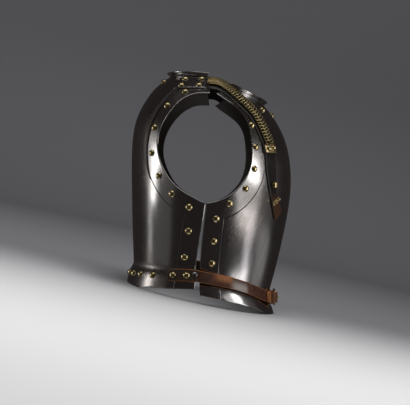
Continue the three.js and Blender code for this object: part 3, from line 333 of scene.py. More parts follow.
def natural_spline(xs, ys):
    """Natural cubic spline: second slopes solve the tridiagonal system, and it runs on straight."""
    xs, ys = np.asarray(xs, float), np.asarray(ys, float)
    step = np.diff(xs)
    inner = np.arange(1, len(xs) - 1)
    system = np.eye(len(xs))
    system[inner, inner - 1] = step[:-1]
    system[inner, inner] = 2 * (step[:-1] + step[1:])
    system[inner, inner + 1] = step[1:]
    pull = np.zeros(len(xs))
    pull[inner] = 6 * np.diff(np.diff(ys) / step)
    bend = np.linalg.solve(system, pull)
    first = (ys[1] - ys[0]) / step[0] - step[0] * bend[1] / 6
    last = (ys[-1] - ys[-2]) / step[-1] + step[-1] * bend[-2] / 6

    def at(x):
        x = np.asarray(x, float)
        held = np.clip(x, xs[0], xs[-1])
        i = np.clip(np.searchsorted(xs, held) - 1, 0, len(xs) - 2)
        a = (xs[i + 1] - held) / step[i]
        b = 1 - a
        curve = ((a ** 3 - a) * bend[i] + (b ** 3 - b) * bend[i + 1]) * step[i] ** 2 / 6
        line = a * ys[i] + b * ys[i + 1] + curve
        return line + np.minimum(x - xs[0], 0) * first + np.maximum(x - xs[-1], 0) * last
    return at


def smooth(x, low, high):
    """Rises smoothly from 0 at low to 1 at high."""
    t = np.clip((np.asarray(x, float) - low) / (high - low), 0, 1)
    return t * t * (3 - 2 * t)


def squared(wave, power):
    """Sine or cosine raised to a power with its sign kept, which squares a round path's corners."""
    return np.sign(wave) * np.abs(wave) ** power


def window(x, first, second, third, last):
    """Rises smoothly between the first two places and falls between the last two."""
    return smooth(x, first, second) * (1 - smooth(x, third, last))


def all_round(count):
    """Angles at even steps round a full turn."""
    return np.arange(count) * 2 * math.pi / count


def unit(v):
    return v / np.maximum(np.linalg.norm(v, axis=-1, keepdims=True), 1e-12)


def dot(a, b):
    return (a * b).sum(-1)


class Plate:
    """One plate: its side of the side line, wall, depth and the splines of its lines."""

    def __init__(self, sign, wall, depth, lines, armhole, neck_corner, height):
        self.sign = sign
        self.wall = wall
        self.depth = depth
        self.crease, self.rim, self.neck = (
            natural_spline(lines[:, 0] * QUARTER, lines[:, k] * height) for k in (1, 2, 3))
        self.armhole = armhole
        self.neck_corner = neck_corner * QUARTER

    def from_middle(self, turn):
        """Turn counted from the plate's own middle line."""
        return turn if self.sign < 0 else math.pi - turn


class Body:
    """The torso's skin and all lines on it, in millimetres, from the sizes of the property groups."""

    def __init__(self, plates, trim, belt):
        def mm(group):
            return {name: getattr(group, name) / MM for name in group.__annotations__
                    if not name.endswith("roundness")}
        self.size = {**mm(plates), **mm(trim), **{f"belt_{k}": v for k, v in mm(belt).items()}}
        s = self.size
        self.height = s["torso_height"]
        self.power = (2 / plates.front_roundness, 2 / plates.back_roundness)
        at = SECTIONS[:, 0] * self.height
        self.width_at = natural_spline(at, SECTIONS[:, 1] * s["half_width"])
        self.front_at = natural_spline(at, SECTIONS[:, 2] * s["front_depth"])
        self.back_at = natural_spline(at, SECTIONS[:, 3] * s["back_depth"])
        self.side_at = natural_spline(at, SECTIONS[:, 4] * s["back_depth"])
        self.flange = natural_spline(*FLANGE_PROFILE.T)
        self.collar = natural_spline(*COLLAR_PROFILE.T)
        self.breast = Plate(-1, s["breast_wall"], s["front_depth"], BREAST_LINES, BREAST_ARMHOLE,
                            BREAST_NECK_CORNER, self.height)
        self.back = Plate(1, s["back_wall"], s["back_depth"], BACK_LINES, BACK_ARMHOLE,
                          BACK_NECK_CORNER, self.height)
        tip = self.outer(np.array(0.0), self.breast.rim(0))
        heel = self.outer(np.array(math.pi), self.back.rim(0))
        self.lean = math.atan2(heel[2] - tip[2], heel[1] - tip[1])
        self.floor = tip[2] * math.cos(self.lean) - tip[1] * math.sin(self.lean) + s["foot_trim"]
        self.shift = 0.0
        turns = np.linspace(0, math.pi, 181)[:, None]
        heights = np.linspace(-0.54, 0.6, 229)[None, :] * self.height
        front = self.stand(self.outer(*np.broadcast_arrays(turns[:91], heights)))
        behind = self.stand(self.outer(*np.broadcast_arrays(turns[91:], np.maximum(heights, BACK_LOW))))
        wanted = (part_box("breastplate")[0][1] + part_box("backplate")[1][1]) / 2
        self.shift = (wanted - (front[..., 1].min() + behind[..., 1].max()) / 2) / MM

    def skin(self, turn, z):
        """Superellipse sections: x is the half width times a power of the sine, y runs from the side
        line to the reach with the cosine."""
        turn, z = np.broadcast_arrays(np.asarray(turn, float), np.asarray(z, float))
        front = turn < QUARTER
        reach = np.where(front, -self.front_at(z), self.back_at(z))
        across = np.sin(turn)
        power = np.where(front, *self.power)
        x = -np.sign(across) * self.width_at(z) * np.abs(across) ** power
        side = self.side_at(z)
        return np.stack([x, side + (reach - side) * np.abs(np.cos(turn)), z], -1)

    def turn_at(self, plate, y, z):
        reach = -self.front_at(z) if plate.sign < 0 else self.back_at(z)
        side = self.side_at(z)
        share = np.clip((y - side) / (reach - side), -1, 1)
        return np.arccos(share) if plate.sign < 0 else math.pi - np.arccos(share)

    def outward(self, turn, z):
        """Horizontal part of the skin's normal; straight ahead on the middle lines."""
        turn, z = np.broadcast_arrays(np.asarray(turn, float), np.asarray(z, float))
        normal = tangents(self.skin, turn, z)[2] * np.array([1, 1, 0])
        middle = np.abs(np.sin(turn)) < 1e-6
        ahead = np.stack([0 * turn, np.where(turn < QUARTER, -1.0, 1.0), 0 * turn], -1)
        return np.where(middle[..., None], ahead, unit(normal))

    def outer(self, turn, z):
        """The skin above the waist crease; below it the flange swings out by its profile."""
        turn, z = np.broadcast_arrays(np.asarray(turn, float), np.asarray(z, float))
        front = turn < QUARTER
        local = np.where(front, turn, math.pi - turn)
        crease = np.where(front, self.breast.crease(local), self.back.crease(local))
        rim = np.where(front, self.breast.rim(local), self.back.rim(local))
        share = np.clip((crease - z) / (crease - rim), 0, None)
        flare = self.size["flange_flare"] * self.flange(share) * (share > 0)
        point = self.skin(turn, np.maximum(z, crease))
        point = point + self.outward(turn, np.maximum(z, crease)) * flare[..., None]
        point[..., 2] = z
        return point

    def stand(self, points):
        """Turns worn millimetres into the frame: leaned back onto both rims, in metres."""
        y, z = points[..., 1], points[..., 2]
        c, s = math.cos(self.lean), math.sin(self.lean)
        return np.stack([points[..., 0], y * c + z * s + self.shift, z * c - y * s - self.floor], -1) * MM

    def filed(self, points):
        """Lifts what lies under the floor onto it, as the lower rims are filed flat."""
        c, s = math.cos(self.lean), math.sin(self.lean)
        lack = np.maximum(self.floor - (points[..., 2] * c - points[..., 1] * s), 0)
        return points + lack[..., None] * np.array([0, -s, c])


def tangents(surface, turn, z):
    """Slopes of a surface along its turn and height by central differences, and its normal."""
    along = (surface(turn + 1e-3, z) - surface(turn - 1e-3, z)) * 500
    up = surface(turn, z + 0.5) - surface(turn, z - 0.5)
    return along, up, unit(np.cross(up, along))


def walk(surface, turn, z, direction, distance):
    """Moves over a surface towards a direction by a distance, in steps of 8 mm at most."""
    turn, z, distance = np.broadcast_arrays(turn, z, np.asarray(distance, float))
    steps = max(1, math.ceil(np.abs(distance).max() / 8))
    for _ in range(steps):
        along, up, _normal = tangents(surface, turn, z)
        a, b, c = dot(along, along), dot(along, up), dot(up, up)
        p, q = dot(along, direction), dot(up, direction)
        det = a * c - b * b
        turning, rising = (c * p - b * q) / det, (a * q - b * p) / det
        speed = np.linalg.norm(along * turning[..., None] + up * rising[..., None], axis=-1)
        turn = turn + turning * distance / steps / speed
        z = z + rising * distance / steps / speed
    return turn, z


def run_of(line, width):
    """Length along a line of (turn, height) points, with the turn measured at the half width."""
    step = np.diff(line, axis=0) * np.array([width, 1.0])
    return np.concatenate([[0], np.cumsum(np.hypot(step[:, 0], step[:, 1]))])


def along_line(line, shares, width):
    run = run_of(line, width)
    wanted = np.asarray(shares) * run[-1]
    return np.stack([np.interp(wanted, run, line[:, 0]), np.interp(wanted, run, line[:, 1])], -1)


def meet(first, second):
    """First crossing of two lines: the first line up to it, and the second line from it on."""
    a, b = first[:-1, None], first[1:, None]
    c, d = second[None, :-1], second[None, 1:]
    ab, cd, ac = b - a, d - c, c - a
    with np.errstate(divide="ignore", invalid="ignore"):
        det = ab[..., 0] * cd[..., 1] - ab[..., 1] * cd[..., 0]
        s = (ac[..., 0] * cd[..., 1] - ac[..., 1] * cd[..., 0]) / det
        t = (ac[..., 0] * ab[..., 1] - ac[..., 1] * ab[..., 0]) / det
    i, j = np.argwhere((s >= 0) & (s <= 1) & (t >= 0) & (t <= 1))[0]
    at = first[i] + (first[i + 1] - first[i]) * s[i, j]
    return np.vstack([first[:i + 1], at]), np.vstack([at, second[j + 1:]])


def outline(body, plate):
    """Edges and border lines of a plate on the wearer's right side, as (turn, height) points."""
    s = body.size
    corner = ARMHOLE_LOW * body.height
    waist = float(plate.crease(QUARTER))

    def side_line(t):
        z = waist + (corner - waist) * np.asarray(t, float)
        gap = s["seam_gap_top"] + (s["seam_gap_waist"] - s["seam_gap_top"]) * (corner - z) / (corner - waist)
        return np.stack([body.turn_at(plate, body.side_at(z) + plate.sign * gap / 2, z), z], -1)

    start = (float(body.side_at(corner)) + plate.sign * s["seam_gap_top"] / 2, corner)
    rest = plate.armhole * np.array([plate.sign * plate.depth, body.height])
    points = np.vstack([start, rest])
    run = np.concatenate([[0], np.cumsum(np.hypot(*np.diff(points, axis=0).T))])
    y_of, z_of = natural_spline(run, points[:, 0]), natural_spline(run, points[:, 1])

    def arm_line(t):
        y, z = y_of(np.asarray(t) * run[-1]), z_of(np.asarray(t) * run[-1])
        return np.stack([body.turn_at(plate, y, z), z], -1)

    def inset(line, t):
        at, ahead = line(t), line(t + 0.01)
        normal = tangents(body.skin, at[:, 0], at[:, 1])[2]
        tangent = body.skin(*ahead.T) - body.skin(*at.T)
        inward = unit(np.cross(normal, tangent) * plate.sign)
        return np.stack(walk(body.skin, at[:, 0], at[:, 1], inward, s["border_width"]), -1)

    middle = 0.0 if plate.sign < 0 else math.pi
    turns = np.linspace(0, QUARTER, 241)
    crease = np.stack([middle - plate.sign * turns, plate.crease(turns)], -1)
    turns = np.linspace(0, plate.neck_corner, 97)
    neck = np.stack([middle - plate.sign * turns, plate.neck(turns)], -1)
    shoulder = np.vstack([neck[-1], arm_line(1.0)])
    low, side = meet(crease, inset(side_line, np.linspace(-0.3, 1.3, 97)))
    side, arm = meet(side, inset(arm_line, np.linspace(-0.02, 1.18, 321)))
    arm, over = meet(arm, shoulder)
    return {
        "crease": low, "side_border": side, "arm_border": arm, "neck": neck,
        "shoulder": np.vstack([neck[-1], over[0]]),
        "side_edge": side_line(np.linspace(0, 1, 97)), "arm_edge": arm_line(np.linspace(0, 1, 241)),
    }


# Meshes as arrays

class Form:
    """Points, quads, triangles and one number per point for each named attribute."""

    def __init__(self, points, quads=None, triangles=None, **values):
        self.points = np.asarray(points, float).reshape(-1, 3)
        self.quads = np.zeros((0, 4), int) if quads is None else np.asarray(quads, int)
        self.triangles = np.zeros((0, 3), int) if triangles is None else np.asarray(triangles, int)
        count = len(self.points)
        self.values = {k: np.broadcast_to(v, np.shape(v) or (count,)).reshape(-1) for k, v in values.items()}

    def mirrored(self):
        flipped = Form(self.points * np.array([-1, 1, 1]), self.quads[:, ::-1], self.triangles[:, ::-1])
        flipped.values = dict(self.values)
        return flipped


def joined(forms):
    """All forms as one: their points in a row, their faces counted on."""
    start = np.cumsum([0] + [len(f.points) for f in forms])[:-1]
    whole = Form(
        np.vstack([f.points for f in forms]),
        np.vstack([f.quads + n for f, n in zip(forms, start)]),
        np.vstack([f.triangles + n for f, n in zip(forms, start)]))
    for name in forms[0].values:
        whole.values[name] = np.concatenate([f.values.get(name, np.zeros(len(f.points))) for f in forms])
    return whole


def welded(form, digits=4):
    """One point for all points in the same place."""
    keys = np.round(form.points, digits)
    _, first, back = np.unique(keys, axis=0, return_index=True, return_inverse=True)
    back = back.reshape(-1)
    whole = Form(form.points[first], back[form.quads], back[form.triangles])
    whole.values = {k: v[first] for k, v in form.values.items()}
    return whole


def grid_faces(rows, columns, closed=False):
    """Quads of a grid numbered row by row; closed joins the last column to the first."""
    j, i = np.meshgrid(np.arange(rows - 1), np.arange(columns if closed else columns - 1), indexing="ij")
    a, b = j * columns + i, j * columns + (i + 1) % columns
    return np.stack([a, b, b + columns, a + columns], -1).reshape(-1, 4)


def grid_form(points, **values):
    rows, columns = points.shape[:2]
    spread = {k: np.broadcast_to(v, (rows, columns)) for k, v in values.items()}
    return Form(points, grid_faces(rows, columns), **spread)


def ring_form(points, **values):
    """Closed ring of closed sections: both the stations and the section's points run round."""
    stations, around = points.shape[:2]
    j, i = np.meshgrid(np.arange(stations), np.arange(around), indexing="ij")
    ahead, beside = (j + 1) % stations, (i + 1) % around
    quads = np.stack([j * around + i, j * around + beside, ahead * around + beside, ahead * around + i], -1)
    spread = {k: np.broadcast_to(v, (stations, around)) for k, v in values.items()}
    return facing_out(Form(points, quads.reshape(-1, 4), **spread))


def volume(form):
    """Six times the enclosed volume; the sign tells which way the faces look."""
    faces = np.vstack([form.quads[:, :3], form.quads[:, [0, 2, 3]], form.triangles])
    a, b, c = (form.points[faces[:, k]] - form.points.mean(0) for k in range(3))
    return dot(a, np.cross(b, c)).sum()


def facing_out(form):
    if volume(form) < 0:
        form.quads, form.triangles = form.quads[:, ::-1], form.triangles[:, ::-1]
    return form


def swept(rings, **values):
    """Closed tube through rings of points (stations, round, 3), a fan of triangles over each end."""
    stations, around = rings.shape[:2]
    count = stations * around
    points = np.vstack([rings.reshape(-1, 3), rings[0].mean(0), rings[-1].mean(0)])
    i = np.arange(around)
    ahead = (i + 1) % around
    far = (stations - 1) * around
    start = np.stack([np.full(around, count), ahead, i], -1)
    end = np.stack([np.full(around, count + 1), far + i, far + ahead], -1)
    form = Form(points, grid_faces(stations, around, closed=True), np.vstack([start, end]))
    for name, value in values.items():
        spread = np.broadcast_to(value, (stations, around))
        form.values[name] = np.concatenate([spread.reshape(-1), [spread[0].mean(), spread[-1].mean()]])
    return facing_out(form)


def turned(profile, sides, **values):
    """Profile of (radius, height) turned round +Z; both of its ends close on the axis."""
    angle = all_round(sides)
    ring = np.stack([np.cos(angle), np.sin(angle), 0 * angle], -1)
    rings = profile[:, None, :1] * ring + profile[:, None, 1:] * np.array([0, 0, 1])
    count = len(profile)
    spread = {k: np.broadcast_to(np.asarray(v)[:, None], (count, sides)) for k, v in values.items()}
    form = swept(rings, **spread)
    form.points[-2], form.points[-1] = (0, 0, profile[0, 1]), (0, 0, profile[-1, 1])
    return form


def placed(form, places, normals, directions=None):
    """Copies of a form, its +Z on each normal and its +X on each direction."""
    normals = unit(np.atleast_2d(normals))
    if directions is None:
        guide = np.where(np.abs(normals[:, 2:]) < 0.9, [[0, 0, 1.0]], [[1.0, 0, 0]])
        directions = np.cross(guide, normals)
    x = unit(directions - normals * dot(directions, normals)[:, None])
    y = np.cross(normals, x)
    axes = np.stack([x, y, normals], 1)
    points = np.einsum("mk,nkc->nmc", form.points, axes) + np.atleast_2d(places)[:, None]
    count, each = points.shape[:2]
    start = (np.arange(count) * each)[:, None, None]
    quads = (form.quads[None] + start).reshape(-1, 4)
    triangles = (form.triangles[None] + start).reshape(-1, 3)
    copies = Form(points, quads, triangles)
    copies.values = {k: np.tile(v, count) for k, v in form.values.items()}
    return copies


def point_normals(form):
    """Sum of the faces' normals round each point, made unit."""
    total = np.zeros_like(form.points)
    q = form.points[form.quads]
    face = np.cross(q[:, 2] - q[:, 0], q[:, 3] - q[:, 1])
    for k in range(4):
        np.add.at(total, form.quads[:, k], face)
    return unit(total)


def shell(form, wall, bulge, rings=4):
    """Closed wall behind an open surface of quads. Each open edge gets a rounded lip: half the wall
    times the sine along the normal and the bulge times the cosine away from the surface."""
    normal = point_normals(form)
    middle = np.abs(form.points[:, 0]) < 1e-6
    normal[middle, 0] = 0
    normal = unit(normal)
    count = len(form.points)
    edges = np.vstack([form.quads[:, [k, (k + 1) % 4]] for k in range(4)])
    key, back = edges[:, 0] * count + edges[:, 1], edges[:, 1] * count + edges[:, 0]
    open_edges = edges[~np.isin(key, back)]
    step = form.points[open_edges[:, 1]] - form.points[open_edges[:, 0]]
    away = np.zeros_like(form.points)
    for k in range(2):
        np.add.at(away, open_edges[:, k], unit(np.cross(step, normal[open_edges[:, k]])))
    rim = np.unique(open_edges)
    away = unit(away[rim] - normal[rim] * dot(away[rim], normal[rim])[:, None])
    angle = np.linspace(QUARTER, -QUARTER, rings + 2)[1:-1, None, None]
    centre = form.points[rim] - normal[rim] * wall / 2
    lip = centre + normal[rim] * np.sin(angle) * wall / 2 + away * np.cos(angle) * bulge
    number = np.full(count, -1)
    number[rim] = np.arange(len(rim))
    between = [2 * count + k * len(rim) + np.arange(len(rim)) for k in range(rings)]
    levels = np.vstack([rim, *between, rim + count])
    a, b = number[open_edges[:, 0]], number[open_edges[:, 1]]
    strips = [np.stack([levels[k, b], levels[k, a], levels[k + 1, a], levels[k + 1, b]], -1)
              for k in range(rings + 1)]
    whole = Form(
        np.vstack([form.points, form.points - normal * wall, lip.reshape(-1, 3)]),
        np.vstack([form.quads, form.quads[:, ::-1] + count, *strips]))
    for name, value in form.values.items():
        whole.values[name] = np.concatenate([value, value, np.tile(value[rim], rings)])
    whole.values["inside"] = np.concatenate([np.zeros(count), np.ones(count), np.zeros(rings * len(rim))])
    # The lip is marked wholly as edge: worn edge and painted highlight in the steel
    worn = form.values["edge"]
    whole.values["edge"] = np.concatenate([worn, worn, np.ones(rings * len(rim))])
    return whole


def rounded_section(low, high, corner=1.0, points=4, crown=0.0, across=9):
    """Cross-section of a flat band: shares across, extra millimetres across and lifts, all the way
    round. Its corners are quarter circles, and the top rises by the crown towards its middle."""
    corner = min(corner, (high - low) / 2)
    flat = np.linspace(-1, 1, across)
    arc = np.linspace(0, QUARTER, points + 1)[1:-1] if points > 1 else np.zeros(0)
    share = [flat, np.ones(len(arc)), [1.0, 1.0], np.ones(len(arc)), flat[::-1], -np.ones(len(arc)),
             [-1.0, -1.0], -np.ones(len(arc))]
    ends = np.abs(flat) == 1
    extra = [np.where(ends, -corner * flat, 0.0), -corner + corner * np.sin(arc), [0.0, 0.0],
             -corner + corner * np.cos(arc), np.where(ends, -corner * flat[::-1], 0.0),
             corner - corner * np.sin(arc), [0.0, 0.0], corner - corner * np.cos(arc)]
    top = high + crown * (1 - flat ** 2)
    lift = [np.full(across, low), low + corner - corner * np.cos(arc), [low + corner, high - corner],
            high - corner + corner * np.sin(arc), top[::-1], high - corner + corner * np.cos(arc),
            [high - corner, low + corner], low + corner - corner * np.sin(arc)]
    sides = [np.zeros(across), np.ones(len(arc)), [1, 1], np.ones(len(arc)), np.zeros(across),
             np.ones(len(arc)), [1, 1], np.ones(len(arc))]

    def whole(parts):
        return np.concatenate([np.asarray(part, float) for part in parts])
    return whole(share), whole(extra), whole(lift), whole(sides)


# Shaders

class Value:
    """A shader socket that takes part in arithmetic: each operation adds a Math node."""

    def __init__(self, shader, socket):
        self.shader = shader
        self.socket = socket

    def math(self, operation, *others):
        inputs = dict(enumerate((self, *others)))
        return self.shader.node("ShaderNodeMath", {"operation": operation}, inputs)

    def __add__(self, other):
        return self.math("ADD", other)

    def __mul__(self, other):
        return self.math("MULTIPLY", other)

    def __sub__(self, other):
        return self.math("SUBTRACT", other)

    def __rsub__(self, other):
        return self.shader.node("ShaderNodeMath", {"operation": "SUBTRACT"}, {0: other, 1: self})

    __radd__ = __add__
    __rmul__ = __mul__

    def clipped(self):
        return self.shader.node("ShaderNodeClamp", {}, {"Value": self})

    def rise(self, low, high):
        """0 at low and 1 at high, held beyond them."""
        return self.shader.node("ShaderNodeMapRange", {"interpolation_type": "SMOOTHSTEP"},
                                {"Value": self, "From Min": low, "From Max": high})

    def either(self, other):
        return self.math("MAXIMUM", other)


class Shader:
    """A material under construction, with one method that adds any node."""

    def __init__(self, name):
        self.material = bpy.data.materials.new(name)
        self.material.use_nodes = True
        self.tree = self.material.node_tree
        self.surface = self.tree.nodes["Principled BSDF"]

    def node(self, kind, settings, inputs, output=0):
        made = self.tree.nodes.new(kind)
        for name, value in settings.items():
            setattr(made, name, value)
        for name, value in inputs.items():
            if isinstance(value, Value):
                self.tree.links.new(value.socket, made.inputs[name])
            else:
                made.inputs[name].default_value = value
        return Value(self, made.outputs[output])

    def place(self, scale=(1, 1, 1), rotation=(0, 0, 0)):
        """Object coordinates, turned and stretched."""
        where = self.node("ShaderNodeTexCoord", {}, {}, "Object")
        turned_by = self.node("ShaderNodeMapping", {}, {"Vector": where, "Rotation": rotation})
        return self.node("ShaderNodeMapping", {}, {"Vector": turned_by, "Scale": scale})

    def noise(self, where, scale, detail=4.0, roughness=0.55, distortion=0.0):
        return self.node("ShaderNodeTexNoise", {}, {
            "Vector": where, "Scale": scale, "Detail": detail, "Roughness": roughness,
            "Distortion": distortion}, "Fac")

    def pebbles(self, where, scale):
        """Leather grain: 0 in the lines between the pebbles, 1 on them."""
        return self.node("ShaderNodeTexVoronoi", {"feature": "DISTANCE_TO_EDGE"},
                         {"Vector": where, "Scale": scale}, "Distance").rise(0.0, 0.12)

    def attribute(self, name):
        return self.node("ShaderNodeAttribute", {"attribute_name": name}, {}, "Fac")

    def mix(self, share, first, second):
        """Colour between two colours, each a tuple or a socket."""
        def full(c):
            return c if isinstance(c, Value) else (*c, 1.0)
        inputs = {0: share, 6: full(first), 7: full(second)}
        return self.node("ShaderNodeMix", {"data_type": "RGBA"}, inputs, 2)

    def bump(self, height, strength, distance, normal=None):
        inputs = {"Height": height, "Strength": strength, "Distance": distance}
        if normal is not None:
            inputs["Normal"] = normal
        return self.node("ShaderNodeBump", {}, inputs)

    def feed(self, **sockets):
        for name, value in sockets.items():
            socket = self.surface.inputs[name.replace("_", " ")]
            if isinstance(value, Value):
                self.tree.links.new(value.socket, socket)
            else:
                socket.default_value = value
        return self.material


def steel_material(looks, lean, name):
    """Polished steel: upright brushing, brown and violet bloom, pits, bare worn edges lightened further as a
    painted highlight, and painted shade in the engraved lines, creases and seam foot.
    """
    s = Shader(name)
    upright = (-lean, 0, 0)
    where = s.place(rotation=upright)
    bloom = s.noise(where, 7.0, 5.0, 0.6).rise(0.45, 0.72)
    violet = s.noise(s.place((1, 1, 0.6), (0.4, 0.3, 0.9)), 9.0, 3.0).rise(0.5, 0.75)
    pits = s.noise(where, 420.0, 2.0, 0.5).rise(0.70, 0.80)
    clusters = s.noise(where, 26.0, 3.0, 0.6).rise(0.5, 0.66)
    pits = pits * clusters
    fine = s.noise(s.place((900, 900, 9), upright), 1.0, 2.0, 0.6)
    broad = s.noise(s.place((160, 160, 5), upright), 1.0, 3.0, 0.6)
    scratch = s.noise(s.place((30, 700, 700), (0.5, 0.35, 0.25)), 1.0, 1.0).rise(0.71, 0.76)
    scuff = s.noise(s.place((700, 40, 500), (0.2, -0.6, 0.4)), 1.0, 1.0).rise(0.72, 0.77)
    edge = s.attribute("edge")
    groove = s.attribute("groove")
    inside = s.attribute("inside")
    grime = s.attribute("grime")
    base = s.mix(bloom * 0.8, tuple(looks.steel), tuple(looks.steel_patina))
    base = s.mix(violet * 0.45, base, tuple(looks.steel_bloom))
    base = s.mix((broad - 0.5) * 0.5 + 0.1, base, tuple(0.6 * c for c in looks.steel))
    base = s.mix((scratch + scuff) * 0.35, base, (0.62, 0.61, 0.60))
    base = s.mix(pits * 0.8, base, (0.07, 0.05, 0.04))
    # Painted highlight: rims and worn edges lightened towards the bare-steel colour
    base = s.mix(edge.rise(0.35, 1.0) * (0.5 + broad * 0.7), base, tuple(looks.steel_edge_and_highlight))
    # Painted shade: the engraved grooves, the plates' creases and the seam's foot are painted near black
    base = s.mix((groove * 0.92).either(grime * (0.35 + bloom * 0.6)), base, (0.035, 0.028, 0.024))
    base = s.mix(inside * 0.75, base, (0.10, 0.085, 0.075))
    rough = (fine - 0.5) * 0.10 + (broad - 0.5) * 0.12 + bloom * 0.10 + looks.steel_roughness
    rough = rough + pits * 0.4 + groove * 0.4 + grime * 0.2 + inside * 0.35 - edge * 0.05
    relief = s.bump(fine, 0.10, 0.00005)
    relief = s.bump(s.noise(where, 16.0, 2.0, 0.4), 0.35, 0.0006, relief)
    relief = s.bump(1 - pits, 0.6, 0.0002, relief)
    return s.feed(Base_Color=base, Roughness=rough.clipped(), Metallic=1.0, Normal=relief)


def brass_material(looks, name, rubbed=0.5, roughness=0.22):
    """Old brass: rubbed high places by the attribute, dark low down as tarnish and painted shade, and
    tarnish in blotches.
    """
    s = Shader(name)
    where = s.place()
    blotch = s.noise(where, 160.0, 4.0, 0.6)
    grain = s.noise(where, 900.0, 2.0, 0.5)
    high = s.attribute("high")
    share = (high * 1.1 + (blotch - 0.5) * 0.7 + (rubbed - 0.45)).clipped()
    # Low parts of heads, links and bars take the dark colour: tarnish and painted shade
    base = s.mix(share, tuple(looks.brass_tarnish_and_shade), tuple(looks.brass))
    rough = (1 - share) * 0.28 + (grain - 0.5) * 0.10 + roughness
    relief = s.bump(blotch, 0.25, 0.00015)
    return s.feed(Base_Color=base, Roughness=rough.clipped(), Metallic=1.0, Normal=relief)


def black_leather_material(looks):
    """Black strap leather: pebbled grain, cracks across, pale cut edges and a brown worn tip."""
    s = Shader("black_strap_leather")
    where = s.place()
    grain = s.pebbles(where, 900.0)
    wear = s.noise(where, 55.0, 5.0, 0.65)
    crack = s.noise(s.place((60, 60, 500)), 1.0, 3.0, 0.6).rise(0.58, 0.68)
    side = s.attribute("edge")
    tip = s.attribute("tip")
    face = s.mix(wear.rise(0.45, 0.75) * 0.5, tuple(looks.black_leather), (0.028, 0.023, 0.020))
    face = s.mix(crack * 0.35, face, (0.05, 0.043, 0.036))
    tan = s.mix(wear, (0.03, 0.014, 0.008), (0.085, 0.036, 0.018))
    face = s.mix(tip, face, tan)
    cut = s.mix(wear.rise(0.3, 0.7), tuple(looks.cut_leather), tuple(0.5 * c for c in looks.cut_leather))
    base = s.mix(side * (1 - tip * 0.6), face, cut)
    rough = wear * 0.2 + side * 0.25 + 0.42
    relief = s.bump(grain, 0.35, 0.00025)
    relief = s.bump(crack, 0.3, 0.0003, relief)
    return s.feed(Base_Color=base, Roughness=rough.clipped(), Specular_IOR_Level=0.16, Normal=relief)


def brown_leather_material(looks):
    """Belt leather: red-brown face, a rubbed grey patch that is also a painted highlight, and orange edges
    and ends, by attributes.
    """
    s = Shader("brown_belt_leather")
    where = s.place()
    grain = s.pebbles(where, 1100.0)
    wear = s.noise(where, 70.0, 5.0, 0.65)
    streak = s.noise(s.place((90, 90, 700)), 1.0, 3.0, 0.6)
    crack = s.noise(s.place((420, 420, 60)), 1.0, 4.0, 0.65).rise(0.60, 0.70)
    side = s.attribute("edge")
    rubbed = s.attribute("rubbed")
    ends = s.attribute("ends")
    dark = s.attribute("dark")
    brown = tuple(looks.brown_leather)
    face = s.mix(wear.rise(0.35, 0.7), brown, tuple(0.45 * c for c in brown))
    face = s.mix(streak.rise(0.5, 0.75) * 0.4, face, (0.13, 0.058, 0.032))
    face = s.mix(dark * 0.9, face, (0.022, 0.016, 0.012))
    # Rubbed grey patch: leather wear and a painted highlight on the belt's lower half
    face = s.mix((rubbed * (0.35 + streak * 0.9)).clipped(), face, tuple(looks.worn_leather))
    face = s.mix((ends * (0.3 + wear)).clipped(), face, tuple(looks.orange_leather))
    face = s.mix(crack * 0.6, face, (0.03, 0.018, 0.012))
    base = s.mix((side * (0.35 + wear * 0.6)).clipped(), face, tuple(looks.orange_leather))
    rough = wear * 0.22 + side * 0.2 + 0.36 - rubbed * 0.12
    relief = s.bump(grain, 0.3, 0.0002)
    relief = s.bump(1 - crack, 0.35, 0.0003, relief)
    return s.feed(Base_Color=base, Roughness=rough.clipped(), Specular_IOR_Level=0.28, Normal=relief)


# Pieces

def settings():
    scene = bpy.context.scene
    return scene.cuirass_plates, scene.cuirass_trim, scene.cuirass_belt, scene.cuirass_finishes


def body_of_settings():
    plates, trim, belt, _looks = settings()
    return Body(plates, trim, belt)


def material(kind):
    """The scene's material of a kind, made on its first use."""
    looks = settings()[3]
    makers = {
        "polished_steel": lambda: steel_material(looks, body_of_settings().lean, "polished_steel"),
        "stud_steel": lambda: steel_material(looks, body_of_settings().lean, "stud_steel"),
        "rivet_brass": lambda: brass_material(looks, "rivet_brass", 0.60, 0.24),
        "chain_brass": lambda: brass_material(looks, "chain_brass", 0.24, 0.26),
        "plate_brass": lambda: brass_material(looks, "plate_brass", 0.5, 0.24),
        "black_strap_leather": lambda: black_leather_material(looks),
        "brown_belt_leather": lambda: brown_leather_material(looks),
    }
    return bpy.data.materials.get(kind) or makers[kind]()


def piece(body, name, form, kind, nodes=(), file_flat=False):
    """Puts a form into the scene as a piece that rides on the frame and replaces its CAD nodes."""
    points = body.filed(form.points) if file_flat else form.points
    mesh = bpy.data.meshes.new(name)
    corners = np.concatenate([form.quads.reshape(-1), form.triangles.reshape(-1)])
    starts = np.concatenate([np.arange(len(form.quads)) * 4,
                             len(form.quads) * 4 + np.arange(len(form.triangles)) * 3])
    mesh.vertices.add(len(points))
    mesh.vertices.foreach_set("co", body.stand(points).astype(np.float32).reshape(-1))
    mesh.loops.add(len(corners))
    mesh.loops.foreach_set("vertex_index", corners.astype(np.int32))
    mesh.polygons.add(len(starts))
    mesh.polygons.foreach_set("loop_start", starts.astype(np.int32))
    mesh.polygons.foreach_set("use_smooth", np.ones(len(starts), bool))
    mesh.update(calc_edges=True)
    mesh.validate()
    for key, value in form.values.items():
        mesh.attributes.new(key, "FLOAT", "POINT").data.foreach_set("value", value.astype(np.float32))
    mesh.materials.append(material(kind))
    made = bpy.data.objects.new(name, mesh)
    bpy.context.scene.collection.objects.link(made)
    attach(made, "root")
    if nodes:
        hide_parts(*nodes)
    return made


def both_sides(names):
    return [f"{name}_{side}" for name in names for side in ("right", "left")]


def plate_lift(body, share, raised):
    """The armhole edge turns out by the cube of the share across the border."""
    return body.size["armhole_flare"] * share ** 3 * raised


